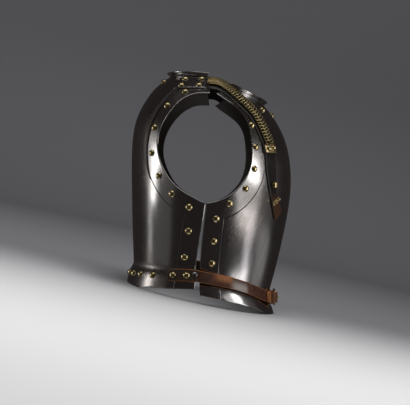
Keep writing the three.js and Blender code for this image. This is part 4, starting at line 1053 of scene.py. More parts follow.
def plate_rows(body, plate, fine):
    """Border line and edge of a plate, row by row, with how far each row is up the armhole."""
    lines = outline(body, plate)
    width = body.size["half_width"]
    sides, arms = SIDE_ROWS * fine, ARM_ROWS * fine
    def rows(side, arm):
        low = along_line(lines[side], np.linspace(0, 1, sides + 1), width)
        high = along_line(lines[arm], np.linspace(0, 1, arms + 1), width)
        return np.vstack([low, high[1:]])
    level = np.arange(sides + arms + 1) / fine
    return lines, rows("side_border", "arm_border"), rows("side_edge", "arm_edge"), level


def half_plate(body, plate, fine=PLATE_FINE):
    """Right half of a plate. The field inside the border blends its four edge lines (a Coons patch
    in turn and height); the border runs straight from its line to the edge, after the groove."""
    s = body.size
    lines, border, edge, level = plate_rows(body, plate, fine)
    width = s["half_width"]
    across, over = FIELD_COLUMNS * fine, OVER_COLUMNS * fine
    bottom = along_line(lines["crease"], np.linspace(0, 1, across + over + 1), width)
    top = np.vstack([along_line(lines["neck"], np.linspace(0, 1, across + 1), width),
                     along_line(lines["shoulder"], np.linspace(0, 1, over + 1), width)[1:]])
    v = ((border[:, 1] - border[0, 1]) / (border[-1, 1] - border[0, 1]))[:, None, None]
    u = np.linspace(0, 1, across + over + 1)[None, :, None]
    left = bottom[0] + (top[0] - bottom[0]) * v
    sides = left + (border[:, None] - left) * u
    ends = bottom + (top - bottom) * v
    low, high = bottom[0] + (bottom[-1] - bottom[0]) * u, top[0] + (top[-1] - top[0]) * u
    field = sides + ends - (low + (high - low) * v)
    beside = border[:, None] + (field[:, -2:-1] - border[:, None]) * BESIDE_GROOVE
    field = np.concatenate([field[:, :-1], beside, field[:, -1:]], 1)
    groove = s["groove_width"] / s["border_width"]
    end = 1 - s["edge_round"] / s["border_width"]
    dip = np.linspace(0, groove, GROOVE_ROWS + 1)[1:]
    rest = groove + (end - groove) * (1 - (1 - np.linspace(0, 1, BORDER_ROWS + 1)[1:]) ** 1.35)
    share = np.concatenate([dip, [groove + BEYOND_GROOVE], rest])
    band = border[:, None] + (edge - border)[:, None] * share[None, :, None]
    flat = np.concatenate([field, band], 1)
    flat[0, :, 1] = plate.crease(plate.from_middle(flat[0, :, 0]))
    shares = np.concatenate([np.zeros(field.shape[1]), share])
    turn, z = flat[..., 0], flat[..., 1]
    in_groove = np.sin(np.clip(shares / groove, 0, 1) * math.pi)
    sunk = np.where(shares <= groove, in_groove, 0) * s["groove_depth"]
    raised = smooth(level, SIDE_ROWS - 1.0, SIDE_ROWS + 3.0)[:, None]
    rounded = EDGE_DROP * np.clip((shares - ROUND_FROM) / (1 - ROUND_FROM), 0, 1) ** 2
    lift = plate_lift(body, shares[None, :], raised) - (sunk + rounded)[None, :]
    surface = body.skin(turn, z) + tangents(body.skin, turn, z)[2] * lift[..., None]
    # Painted shade: the engraved groove is painted near black through the groove mark
    hollow = in_groove ** 0.3 * (shares < groove * 0.99)
    hollow = np.broadcast_to(hollow, turn.shape)
    # Outer edge of the border lightened in the steel: worn edge and painted highlight
    rim = np.broadcast_to(np.clip((shares - 0.9) / 0.1, 0, 1) ** 2, turn.shape)
    # Painted shade at the foot of the side seam by the waist
    seam = np.exp(-(level / 0.25) ** 2)[:, None]
    forms = [grid_form(surface, groove=hollow, edge=rim, grime=seam * 0.5)]

    def lip(points, line, heights, flare, profile, steps):
        t = np.linspace(0, 1, steps)[:, None] ** 1.25
        out = body.outward(line[:, 0], line[:, 1])
        rows = points[None] + out[None] * (flare * profile(t))[..., None]
        rows[..., 2] = points[None, :, 2] + heights[None] * t
        return rows, t
    local = plate.from_middle(flat[0, :, 0])
    drop = plate.rim(local) - plate.crease(local)
    flange, t = lip(surface[0], flat[0], drop, s["flange_flare"], body.flange, FLANGE_ROWS)
    # Flange: painted shade along its crease, and its lower lip lightened as worn edge and painted highlight
    forms.append(grid_form(
        flange[::-1], groove=np.zeros(1), edge=np.clip((t[::-1] - 0.93) / 0.07, 0, 1),
        grime=np.exp(-(t[::-1] / 0.12) ** 2) * 0.8))
    neck = slice(0, across + 1)
    tall = np.full(across + 1, s["collar_height"] - s["edge_round"])
    flare = s["collar_flare"] - COLLAR_INSET
    collar, t = lip(surface[-1, neck], flat[-1, neck], tall, flare, body.collar, COLLAR_ROWS)
    # Collar: painted shade along its crease, and its top lightened as worn edge and painted highlight
    forms.append(grid_form(
        collar, groove=np.zeros(1), edge=np.clip((t - 0.85) / 0.15, 0, 1),
        grime=np.exp(-(t / 0.2) ** 2) * 0.6))
    half = joined(forms)
    if plate.sign < 0:
        half.quads = half.quads[:, ::-1]
    return half


def plate_piece(body, plate, name, node):
    """A plate from its half and the half's mirror image, welded on the middle line, then walled."""
    half = half_plate(body, plate)
    whole = welded(joined([half, half.mirrored()]))
    wall = facing_out(shell(whole, plate.wall, body.size["edge_round"]))
    return piece(body, name, wall, "polished_steel", [node], file_flat=True)


def dome(radius, height, sides=20):
    """Rivet head: a spherical cap of a half angle over an upright skirt; high grows upwards."""
    low = math.cos(DOME_HALF_ANGLE)
    angle = np.linspace(DOME_HALF_ANGLE, 0, 10)[1:-1]
    cap = DOME_SKIRT + (1 - DOME_SKIRT) * (np.cos(angle) - low) / (1 - low)
    arch = np.stack([np.sin(angle) / math.sin(DOME_HALF_ANGLE), cap], -1)
    skirt = [[0.98, 0.0], [1.0, 0.05], [1.0, DOME_SKIRT * 0.85], [0.985, DOME_SKIRT]]
    profile = np.vstack([skirt, arch, [0.02, 1.0]])
    # Low on the head the brass darkens: tarnish and painted shade where it meets the plate
    high = smooth(profile[:, 1], 0.02, 0.35)
    profile = profile * np.array([radius, height])
    return turned(profile, sides, high=high, edge=np.zeros(len(profile)))


def slotted_stud(radius, height, slot=0.16, depth=0.45, slant=0.8):
    """Round screw head: a low dome whose height drops by the depth in a slot across its middle, a
    smooth trench of the distance from a slanting line."""
    rings, sides = 15, 48
    angle = all_round(sides)
    out = np.concatenate([[1.0, 1.0], np.linspace(1, 0.03, rings - 2)])[:, None]
    x, y = out * np.cos(angle), out * np.sin(angle)
    across = np.abs(x * math.sin(slant) - y * math.cos(slant))
    trench = 1 - smooth(across, slot * 0.6, slot)
    top = (0.45 + 0.55 * np.sqrt(np.clip(1 - out ** 2, 0, 1))) * (1 - depth * trench)
    level = np.where(np.arange(rings)[:, None] == 0, 0.0, top)
    rings_at = np.stack([x * radius, y * radius, level * height], -1)
    # The slot is painted dark through the groove mark (painted shade); the whole head is lightened a little
    # through the edge mark (wear and painted highlight)
    trench = trench * (np.arange(rings) > 1)[:, None]
    return swept(rings_at, edge=0.35, groove=trench, grime=0.0, inside=0.0)


def rivet_places(body, plate, rivets):
    """Rivets at even steps along a line that runs up the border, as (turn, height) and flare."""
    _lines, border, edge, level = plate_rows(body, plate, 1)
    turning = smooth(level, SIDE_ROWS - 1, SIDE_ROWS + 2)
    raised = np.clip((level - SIDE_ROWS) / ARM_ROWS, 0, None)
    share = rivets["side"] + (rivets["arm"] - rivets["side"]) * turning
    share = share + (rivets["top"] - rivets["arm"]) * raised
    line = border + (edge - border) * share[:, None]
    wanted = np.linspace(rivets["first"], rivets["last"], rivets["count"])
    at = along_line(line, wanted, body.size["half_width"])
    run = run_of(line, body.size["half_width"])
    across = np.interp(wanted * run[-1], run, share)
    up = np.interp(wanted * run[-1], run, smooth(level, SIDE_ROWS - 1.0, SIDE_ROWS + 3.0))
    return at, plate_lift(body, across, up)


def rivets_piece(body, plate, rivets, extra, name, node):
    """All rivets of a plate: those of its border line, the neck and flange ones, and their mirrors."""
    s = body.size
    head = dome(s["rivet_radius"], s["rivet_height"])
    at, lift = rivet_places(body, plate, rivets)
    normal = tangents(body.skin, at[:, 0], at[:, 1])[2]
    places = body.skin(*at.T) + normal * (lift + RIVET_STANDS)[:, None]
    turn = extra[:, 0] * QUARTER if plate.sign < 0 else math.pi - extra[:, 0] * QUARTER
    extra_normal = tangents(body.outer, turn, extra[:, 1] * body.height)[2]
    extra_places = body.outer(turn, extra[:, 1] * body.height) - extra_normal * RIVET_SUNK
    places, normal = np.vstack([places, extra_places]), np.vstack([normal, extra_normal])
    heads = placed(head, places, normal)
    off_middle = np.abs(places[:, 0]) > 1
    mirror = placed(head, places[off_middle], normal[off_middle]).mirrored()
    nodes = both_sides([f"{node}_rivet_{i + 1}" for i in range(rivets["count"])])
    return piece(body, name, joined([heads, mirror]), "rivet_brass", nodes)


class Route:
    """Centre line of a strap: splines of turn, height and width over its length."""

    def __init__(self, body, rows):
        self.body = body
        line = rows[:, :2] * np.array([QUARTER, body.height])
        run = run_of(line, body.size["half_width"])
        self.total = run[-1]
        self.turn, self.z, self.width = (
            natural_spline(run, column) for column in (line[:, 0], line[:, 1], rows[:, 2]))

    def at(self, share):
        run = np.asarray(share) * self.total
        return self.turn(run), self.z(run)

    def frames(self, share):
        """Feet, tangents, side directions and normals at shares of the route."""
        turn, z = self.at(share)
        ahead = self.body.skin(*self.at(np.asarray(share) + 0.002))
        place = self.body.skin(turn, z)
        normal = tangents(self.body.skin, turn, z)[2]
        forward = unit(ahead - place)
        return turn, z, forward, unit(np.cross(normal, forward)), normal

    def band(self, share, half_width, section, lift=0.0):
        """Rings of a band: each point of the section walks sideways over the skin and is lifted
        along the normal where it arrives."""
        turn, z, _forward, side, _normal = self.frames(share)
        across, extra, height, _sides = section
        distance = np.asarray(half_width)[:, None] * across + extra
        feet = walk(self.body.skin, turn[:, None], z[:, None], side[:, None], distance)
        up = tangents(self.body.skin, *feet)[2]
        return self.body.skin(*feet) + up * (height + np.asarray(lift)[..., None])[..., None]

    def spots(self, share, across, height):
        """Places beside the route and their normals and forward directions."""
        share, across = np.broadcast_arrays(np.atleast_1d(share), np.atleast_1d(across))
        turn, z, forward, side, _normal = self.frames(share)
        feet = walk(self.body.skin, turn, z, side, across)
        up = tangents(self.body.skin, *feet)[2]
        return self.body.skin(*feet) + up * height, up, forward


def chain_links(s, route, over):
    """Two rows of links along a strap. A link is a wire round an ellipse whose height goes with the
    sine of twice the angle, so that one end of it passes over its neighbour and one under."""
    start = CHAIN_INSET / route.total
    end = CHAIN_END - (s["front_plate_length"] / 2 + CHAIN_SHORT) / route.total
    links = int(round((end - start) * route.total / s["link_pitch"]))
    at = np.linspace(start, end, links)
    wire = s["link_wire"] / 2
    row_width = s["chain_width"] / 2
    long_half = (s["link_pitch"] + 2 * s["link_wire"]) / 2 - wire
    wide_half = row_width / 2 + 0.35 - wire
    twist = s["chain_thickness"] / 2 - wire
    angle = all_round(LINK_SIDES)

    def path(a):
        return np.stack([long_half * np.cos(a), wide_half * np.sin(a), twist * np.sin(2 * a)], -1)
    centre = path(angle)
    forward = unit(path(angle + 1e-3) - path(angle - 1e-3))
    side = unit(np.cross(forward, [0, 0, 1.0]))
    up = np.cross(side, forward)
    round_wire = all_round(WIRE_SIDES)
    tube = centre[:, None] + wire * (side[:, None] * np.cos(round_wire)[None, :, None]
                                     + up[:, None] * np.sin(round_wire)[None, :, None])
    # Lower halves of the links darken: tarnish and painted shade under and between links
    link = ring_form(tube, high=smooth(tube[..., 2], -0.6, twist + 0.5 * wire))
    flipped = Form(link.points * np.array([1, -1, 1]), link.quads[:, ::-1], high=link.values["high"])
    rows = []
    for form, way in ((link, 1), (flipped, -1)):
        places, normals, ahead = route.spots(at, way * row_width / 2, over + s["chain_thickness"] / 2)
        rows.append(placed(form, places, normals, ahead))
    return joined(rows)


def strap_pieces(body):
    """Shoulder straps, chains, end plates, studs and tip bars, on the right and mirrored."""
    s = body.size
    route = Route(body, STRAP_ROUTE)
    gap, thick = s["seat_gap"], s["strap_thickness"]
    under = s["strap_lift"]
    over = under + thick + s["strap_clearance"]
    share = np.linspace(0, 1, STRAP_STATIONS)
    section = rounded_section(under, under + thick, CORNER_ROUND, 4, 0.0, 9)
    half = route.width(share * route.total) * s["strap_width"] / 2
    half = half * (1 - 0.16 * np.clip((share - 0.985) / 0.015, 0, 1) ** 2)
    rings = route.band(share, half, section)
    strap = swept(rings, edge=section[3][None, :], tip=smooth(share, 0.84, 0.89)[:, None])
    chain = chain_links(s, route, over)

    plate_section = rounded_section(over, over + s["end_plate"], PLATE_CORNER, 3, 0.25, 7)

    def knobbed(centre, long, width, radius, height):
        half_share = long / route.total / 2
        shares = np.linspace(centre - half_share, centre + half_share, 9)
        plate = swept(route.band(shares, np.full(9, width / 2), plate_section), high=0.6)
        beside = np.array([-0.5, 0.5]) * width / 2
        spots, up, _ahead = route.spots(centre, beside, over + s["end_plate"] - KNOB_SUNK)
        return joined([plate, placed(dome(radius, height), spots, up)])
    front = knobbed(CHAIN_END, s["front_plate_length"], s["front_plate_width"], s["knob_radius"],
                    s["knob_height"])
    tip_bar = knobbed(TIP_BAR_AT, s["tip_bar_length"], s["tip_bar_width"], s["small_knob_radius"],
                      s["knob_height"])

    profile = STUD_PROFILE * np.array([s["stud_radius"], s["stud_height"]])
    # Lower part of the stud darkens: tarnish and painted shade
    head = turned(profile, 24, high=smooth(STUD_PROFILE[:, 1], 0.2, 0.75))
    spot, up, _ahead = route.spots(STUD_AT, 0.0, over)
    stud = placed(head, spot, up)

    behind = Route(body, BACK_PLATE_ROUTE)
    shares = np.linspace(0, 1, BAND_STATIONS)
    half = np.full(BAND_STATIONS, s["back_plate_width"] / 2)
    back_section = rounded_section(gap, gap + s["end_plate"], PLATE_CORNER, 3, 0.0, 9)
    # Sides and end of the plate lightened as worn edge and painted highlight
    worn = np.maximum(back_section[3][None, :] * 0.9, (shares > 0.985)[:, None] * 1.0)
    back_plate = swept(behind.band(shares, half, back_section), edge=worn, groove=0.0, grime=0.0, inside=0.0)
    beside = BACK_PLATE_RIVETS[:, 1] * s["back_plate_width"] / 2
    spots, up, _ahead = behind.spots(BACK_PLATE_RIVETS[:, 0], beside, gap + s["end_plate"] - HEAD_SUNK)
    back_rivets = placed(dome(s["rivet_radius"], s["rivet_height"]), spots, up)

    plan = (
        ("shoulder_strap_leather", strap, "black_strap_leather", "black_leather", "shoulder_strap"),
        ("shoulder_chain_links", chain, "chain_brass", "brass", "shoulder_chain"),
        ("strap_front_plate_brass", front, "plate_brass", "brass", "strap_front_plate"),
        ("strap_tip_bar_brass", tip_bar, "plate_brass", "brass", "strap_tip_bar"),
        ("breast_stud_brass", stud, "plate_brass", "brass", "breast_stud"),
        ("strap_back_plate_steel", back_plate, "polished_steel", "steel", "strap_back_plate"),
        ("strap_back_plate_rivets", back_rivets, "rivet_brass", "brass", None),
    )
    for name, form, kind, slot, node in plan:
        for side_name, shape in (("right", form), ("left", form.mirrored())):
            nodes = [f"{node}_{side_name}"] if node else []
            piece(body, f"{name}_{side_name}", shape, kind, nodes)


class Belt:
    """Straight belt sections that clear the plates at every height they cover."""

    def __init__(self, body):
        self.body = body
        self.s = body.size

    def centre(self, turn):
        """On the breastplate's crease in front, on the rivets' height on the back flange."""
        breast = self.body.breast.crease(np.minimum(turn, QUARTER)) + self.s["belt_over_crease"]
        back = BELT_RIVET_HEIGHT * self.body.height
        return breast + (back - breast) * smooth(turn, *(BELT_CROSSING * QUARTER))

    def sideways(self, turn):
        size = np.abs(turn)
        return -self.body.skin(size, self.centre(size))[..., 0]

    def stand_off(self, turn):
        size = np.abs(turn)
        front = smooth(self.sideways(turn), *KEEPER_FALL)
        side = smooth(size, *(BELT_STEPPING * QUARTER))
        step = np.where(size < QUARTER, self.s["belt_seam_step"] * side, self.s["belt_back_step"])
        return (self.s["belt_keeper_wall"] + 2 * self.s["seat_gap"]) * (1 - front) + step

    def section(self, turn):
        """Lower and upper end of the belt's straight section, its outward direction and clearance."""
        size = np.abs(turn)
        z = self.centre(size)
        out = self.body.outward(size, z)
        half = self.s["belt_width"] / 2
        lower, upper = self.body.outer(size, z - half), self.body.outer(size, z + half)
        at = self.body.outer(size[..., None], z[..., None] + BELT_TEST_SHARES * half)
        along = ((BELT_TEST_SHARES + 1) / 2)[:, None]
        chord = lower[..., None, :] + (upper - lower)[..., None, :] * along
        clear = np.maximum(dot(at - chord, out[..., None, :]).max(-1), 0)
        flip = np.where(turn < 0, -1.0, 1.0)[..., None] * np.array([1, 0, 0]) + np.array([0, 1, 1])
        return lower * flip, upper * flip, out * flip, clear + self.s["seat_gap"] + self.stand_off(turn)

    def rings(self, turn, lift, width, section):
        lower, upper, out, stand = self.section(turn)
        across, extra, height, _sides = section
        tall = np.linalg.norm(upper - lower, axis=-1)[:, None]
        share = 0.5 + (across * width[:, None] / self.s["belt_width"]) / 2 + extra / tall
        middle = lower[:, None] + (upper - lower)[:, None] * share[..., None]
        return middle + out[:, None] * (stand[:, None] + lift[:, None] + height)[..., None]

    def frame(self, turn, lift):
        """Matrix with X along the belt, Y up across it and Z outward, at a lift over the belt's back."""
        turn = np.array([turn, turn + 0.01])
        lower, upper, out, stand = self.section(turn)
        foot = lower + out * (stand + lift)[:, None]
        up = unit(upper[0] - lower[0])
        outward = unit(np.cross(up, foot[1] - foot[0]))
        right = np.cross(up, outward)
        place = (foot[0] + upper[0] + out[0] * (stand[0] + lift)) / 2
        return np.stack([right, up, outward]), place


def buckle_frame(s):
    """Round-cornered rectangle, an ellipse whose cosine and sine are squared up, of a soft square bar."""
    a = (s["belt_buckle_length"] - s["belt_buckle_bar"]) / 2
    b = (s["belt_buckle_height"] - s["belt_buckle_bar"]) / 2
    angle = all_round(BUCKLE_SIDES)
    across, up = squared(np.cos(angle), 0.28), squared(np.sin(angle), 0.28)
    centre = np.stack([a * across, b * up, 0 * angle], -1)
    normal = unit(np.cross(unit(np.roll(centre, -1, 0) - np.roll(centre, 1, 0)), [0, 0, 1.0]))
    around = all_round(BAR_SIDES)
    thick_bar = s["belt_buckle_bar"] / 2
    ca = squared(np.cos(around), 0.7) * thick_bar
    sa = squared(np.sin(around), 0.7) * thick_bar
    lifted = np.array([0, 0, 1.0]) * (sa + thick_bar)[:, None]
    tube = centre[:, None] + normal[:, None] * ca[None, :, None] + lifted[None]
    # Lower part of the buckle bar darkens: tarnish and painted shade
    return ring_form(tube, high=smooth(tube[..., 2], 0.6, 3.2))


def buckle_prong(s, bar_inside, sag):
    """Tapering round rod along a spline: up beside the near bar, over the strap, onto the far bar."""
    thick = s["belt_thickness"]
    around = all_round(BAR_SIDES)
    root = -bar_inside + s["seat_gap"] + s["belt_prong_thickness"] / 2
    top = s["belt_buckle_bar"] + thick + sag + s["seat_gap"] + s["belt_prong_thickness"] / 2
    rest = s["belt_buckle_bar"] + s["seat_gap"] + s["belt_prong_thickness"] / 2
    knots = np.array([(root, 1.3), (root, top * 0.6), (root + 0.8, top - 0.4), (root + 3.5, top),
                      (s["belt_buckle_length"] / 2 - 1.3, rest)])
    run = np.concatenate([[0], np.cumsum(np.hypot(*np.diff(knots, axis=0).T))])
    t = np.linspace(0, run[-1], 33)
    px, pz = natural_spline(run, knots[:, 0])(t), natural_spline(run, knots[:, 1])(t)
    centre = np.stack([px, 0 * t, pz], -1)
    ahead = unit(np.gradient(centre, axis=0))
    lift = unit(np.cross(ahead, [0, 1.0, 0]))
    taper = (1 - 0.35 * smooth(t / run[-1], 0.5, 1.0))[:, None, None]
    wide, tall = s["belt_prong_width"] / 2, s["belt_prong_thickness"] / 2
    ring = np.array([0, 1.0, 0]) * (np.cos(around) * wide)[None, :, None]
    ring = ring + lift[:, None] * (np.sin(around) * tall)[None, :, None]
    return swept(centre[:, None] + ring * taper, high=0.8)


def keeper_loop(s):
    """Leather loop round both straps: a squared ellipse across the belt, of a squared flat section."""
    thick = s["belt_thickness"]
    around = all_round(BAR_SIDES)
    stack = 2 * thick + 3.5 * s["seat_gap"]
    wall = s["belt_keeper_wall"]
    half_b = s["belt_width"] / 2 + 2 * s["seat_gap"] + wall / 2
    lo, hi = -1.5 * s["seat_gap"] - wall / 2, stack + wall / 2
    angle = all_round(KEEPER_SIDES)
    loop = np.stack([0 * angle, half_b * squared(np.cos(angle), 0.22),
                     (lo + hi) / 2 + (hi - lo) / 2 * squared(np.sin(angle), 0.5)], -1)
    side = unit(np.cross(unit(np.roll(loop, -1, 0) - np.roll(loop, 1, 0)), [1.0, 0, 0]))
    ca = squared(np.cos(around), 0.5) * wall / 2
    sa = squared(np.sin(around), 0.35) * s["belt_keeper_length"] / 2
    tube = loop[:, None] + side[:, None] * ca[None, :, None] + np.array([1.0, 0, 0]) * sa[None, :, None]
    edge = np.abs(sa) > 0.48 * s["belt_keeper_length"]
    return ring_form(tube, edge=edge, rubbed=0.0, ends=0.0, dark=0.3)


def belt_pieces(body):
    """Both belt straps, the buckle, the keeper, and the belt's rivets and seam studs."""
    s = body.size
    belt = Belt(body)
    width_low = float(body.width_at(belt.centre(np.array(0.0))))

    def turn_beside(x):
        return math.asin((x / width_low) ** (1 / body.power[0]))
    bar_inside = s["belt_buckle_length"] / 2 - s["belt_buckle_bar"]
    bar_lift = s["belt_thickness"] + s["seat_gap"]
    low = belt.centre(np.array(0.0))
    sag = float(body.skin(turn_beside(s["belt_buckle_length"] / 2), low)[1] - body.skin(0.0, low)[1])
    over_bar = bar_lift + s["belt_buckle_bar"] + s["seat_gap"] + sag
    belt_end = math.pi - BELT_END_TURN * QUARTER
    thick = s["belt_thickness"]

    def strap(start, end, stations, lift_at, round_start, round_end):
        """Belt sections from turn to turn, their width narrowed to a rounded end by a square root."""
        turn = np.linspace(start, end, stations)
        gone = np.full(stations, s["belt_end_round"])
        if round_start:
            gone = np.minimum(gone, np.abs(np.abs(turn) - abs(start)) * s["half_width"])
        if round_end:
            gone = np.minimum(gone, np.abs(turn - end) * s["half_width"])
        share = 1 - gone / s["belt_end_round"]
        width = s["belt_width"] * np.sqrt(1 - 0.8 * share * share)
        section = rounded_section(0.0, thick, BELT_CORNER, 4, 0.0, 13)
        return turn, belt.rings(turn, lift_at(turn), width, section), section

    def dressed(turn, rings, section, ends):
        """Wear by place: orange and grey patches on the flank, the grey one also a painted highlight, dark
        behind the seam, orange ends.
        """
        flank = np.abs(turn) / QUARTER
        across = section[0][None, :]
        # Grey rubbed patch on the lower half of the flank: wear and painted highlight
        rubbed = window(flank, *RUBBED_AND_HIGHLIGHT_PLACE)[:, None] * smooth(-across, -1.0, 0.3)
        orange = window(flank, *ORANGE_PLACE)[:, None] * smooth(across, -0.5, 0.5)
        ends = np.maximum(ends, orange * 0.8)
        dark = np.where(flank > 1.0, 1.0, smooth(flank, *DARK_FROM) * 0.55)[:, None] + 0.0 * across
        return swept(rings, edge=section[3][None, :], rubbed=rubbed, ends=ends, dark=dark)

    turn, rings, section = strap(belt_end, turn_beside(bar_inside - 3), 150, np.zeros_like, True, False)
    sideways = np.abs(belt.sideways(turn))
    ends = np.clip(1 - np.abs(sideways - 24) / 16, 0, 1)[:, None] * (turn < QUARTER)[:, None]
    piece(body, "belt_strap_right_leather", dressed(turn, rings, section, ends), "brown_belt_leather",
          ["belt_strap_right"])

    def lift_through(turn):
        """The long strap rises over the near bar and comes down on the buckle strap."""
        x = np.where(turn < 0, -1, 1) * belt.sideways(turn)
        half = s["belt_buckle_length"] / 2
        rise = smooth(x, -bar_inside, bar_inside - 1)
        fall = smooth(x, half + 1, half + 11)
        return over_bar * rise - (over_bar - bar_lift - s["seat_gap"]) * fall
    tip = turn_beside(s["belt_tip_place"])
    turn, rings, section = strap(-belt_end, tip, 300, lift_through, True, True)
    x = np.where(turn < 0, -1, 1) * belt.sideways(turn)
    left = dressed(turn, rings, section, smooth(x, 10, 40)[:, None] * 0.6)
    piece(body, "belt_strap_left_leather", left, "brown_belt_leather", ["belt_strap_left"])

    keeper_turn = turn_beside(s["belt_keeper_place"])
    for name, form, turn, lift, kind, slot in (
        ("buckle_frame_brass", buckle_frame(s), 0.0, bar_lift, "plate_brass", "brass"),
        ("buckle_prong_brass", buckle_prong(s, bar_inside, sag), 0.0, bar_lift, "plate_brass", "brass"),
        ("keeper_leather", keeper_loop(s), keeper_turn, 0.0, "brown_belt_leather", "brown_leather"),
    ):
        axes, place = belt.frame(turn, lift)
        form.points = form.points @ axes + place
        piece(body, f"belt_{name}", form, kind, [f"belt_{name.rsplit('_', 1)[0]}"])

    heads = []
    for turn in BELT_RIVET_TURNS:
        axes, place = belt.frame(math.pi - turn * QUARTER, thick + s["seat_gap"] - HEAD_SUNK)
        heads.append(placed(dome(s["rivet_radius"], s["rivet_height"]), place, axes[2]))
    heads = joined(heads)
    nodes = both_sides([f"belt_rivet_{i + 1}" for i in range(len(BELT_RIVET_TURNS))])
    piece(body, "belt_rivets_brass", joined([heads, heads.mirrored()]), "rivet_brass", nodes)

    axes, place = belt.frame(math.pi - SEAM_STUD_TURN * QUARTER, thick + s["seat_gap"])
    stud = slotted_stud(s["belt_stud_radius"], s["belt_stud_height"])
    stud = placed(stud, place + axes[1] * s["belt_stud_raised"], axes[2], axes[0][None])
    piece(body, "belt_seam_studs_steel", joined([stud, stud.mirrored()]), "stud_steel",
          both_sides(["belt_seam_stud"]))


# Stage

def area_light(name, place, aim, size, size_y, energy, tint=(1, 1, 1), up=(0, 0, 1), glossy=True):
    """Rectangular light at a place, turned to an aim, that the camera doesn't see."""
    light = bpy.data.lights.new(name, "AREA")
    light.shape = "RECTANGLE"
    light.size, light.size_y = size, size_y
    light.energy = energy * settings()[3].light
    light.color = tint
    made = bpy.data.objects.new(name, light)
    back = (Vector(place) - Vector(aim)).normalized()
    right = Vector(up).cross(back).normalized()
    turned_to = Matrix((right, back.cross(right), back)).transposed().to_4x4()
    made.matrix_world = Matrix.Translation(place) @ turned_to
    made.visible_camera = False
    made.visible_glossy = glossy
    bpy.context.scene.collection.objects.link(made)


def stage_material(name, near, far, lean):
    """Matt paper with painted light falloff: pale in front of the cuirass, grading to grey behind it and
    darker upwards.
    """
    s = Shader(name)
    where = s.node("ShaderNodeSeparateXYZ", {}, {"Vector": s.place()}, 0)
    high = s.node("ShaderNodeSeparateXYZ", {}, {"Vector": s.place(rotation=(-lean, 0, 0))}, 2)
    # Painted light falloff: pale near the cuirass, grey far off, darker higher up
    base = s.mix(where.rise(-1.0, 0.3), near, far)
    base = s.mix(high.rise(0.2, 1.5), base, tuple(0.8 * c for c in far))
    return s.feed(Base_Color=base, Roughness=0.9, Specular_IOR_Level=0.0)


def build_stage(body):
    """Pale floor that curves up into a round backdrop, soft lights and the camera."""
    looks = settings()[3]
    angle = np.linspace(0, QUARTER, 17)
    flat = np.linspace(0.001, FLOOR_RADIUS, 24)
    cove = np.stack([FLOOR_RADIUS + COVE_RADIUS * np.sin(angle), COVE_RADIUS * (1 - np.cos(angle))], -1)
    rise = np.array([(FLOOR_RADIUS + COVE_RADIUS, height) for height in BACKDROP_HEIGHTS])
    for name, profile in (
        ("studio_floor", np.stack([flat, 0 * flat], -1)),
        ("studio_backdrop", np.vstack([cove, rise])),
    ):
        around = np.linspace(0, 2 * math.pi, 97)
        points = np.stack([profile[:, :1] * np.cos(around), profile[:, :1] * np.sin(around),
                           np.broadcast_to(profile[:, 1:], (len(profile), 97))], -1)
        mesh = bpy.data.meshes.new(name)
        mesh.from_pydata(points.reshape(-1, 3).tolist(), [], grid_faces(len(profile), 97).tolist())
        mesh.polygons.foreach_set("use_smooth", np.ones(len(mesh.polygons), bool))
        mesh.materials.append(stage_material(name, tuple(looks.floor), tuple(looks.backdrop), body.lean))
        made = bpy.data.objects.new(name, mesh)
        made.visible_glossy = False
        made.visible_shadow = False
        bpy.context.scene.collection.objects.link(made)

    world = bpy.data.worlds.new("studio")
    bpy.context.scene.world = world
    world.use_nodes = True
    ground = world.node_tree.nodes["Background"]
    ground.inputs["Color"].default_value = WORLD_COLOUR
    ground.inputs["Strength"].default_value = looks.light
    bpy.context.scene.view_settings.view_transform = "Standard"

    origin = body.stand(np.zeros(3))
    upright = Vector((0, math.sin(body.lean), math.cos(body.lean)))
    aim = Vector(origin)
    for name, around, high, size, tall, bright in SOFT_LIGHTS:
        around, high = math.radians(around), math.radians(high)
        out = math.cos(high)
        level = Vector((-math.cos(around) * out, math.sin(around) * out, math.sin(high)))
        way = Matrix.Rotation(-body.lean, 3, "X") @ level
        area_light(name, aim + way * SOFT_DISTANCE, aim, size, tall, bright * math.pi * size * tall,
                   SOFT_TINT, upright)
    for name, place, target, size, tall, power in (
        ("floor_light", (-0.9, 0.0, 2.4), (-0.6, 0, 0.0), 1.2, 2.4, 34.0),
        ("backdrop_light", (0.6, 0.0, 3.0), (3.2, 0, 0.7), 3.0, 1.0, 60.0),
    ):
        area_light(name, place, target, size, tall, power, up=(0, 1, 0), glossy=False)

    camera = bpy.data.cameras.new("camera")
    camera.lens = CAMERA_LENS
    camera.sensor_width = CAMERA_SENSOR
    seat = bpy.data.objects.new("camera", camera)
    ahead = Vector((1, 0, 0))
    right = ahead.cross(upright)
    aim_low = aim - upright * 0.5 * MM_PER_PIXEL * MM
    seat.matrix_world = (Matrix.Translation(aim_low - ahead * CAMERA_DISTANCE)
                         @ Matrix((right, upright, -ahead)).transposed().to_4x4())
    bpy.context.scene.collection.objects.link(seat)
    bpy.context.scene.camera = seat


# Operators and panel

class CUIRASS_OT_breastplate(bpy.types.Operator):
    """Build the breastplate's steel wall"""
    bl_idname = "cuirass.breastplate"
    bl_label = "Breastplate"

    def execute(self, context):
        body = body_of_settings()
        plate_piece(body, body.breast, "breastplate_steel", "breastplate")
        return {"FINISHED"}


class CUIRASS_OT_backplate(bpy.types.Operator):
    """Build the backplate's steel wall"""
    bl_idname = "cuirass.backplate"
    bl_label = "Backplate"

    def execute(self, context):
        body = body_of_settings()
        plate_piece(body, body.back, "backplate_steel", "backplate")
        return {"FINISHED"}


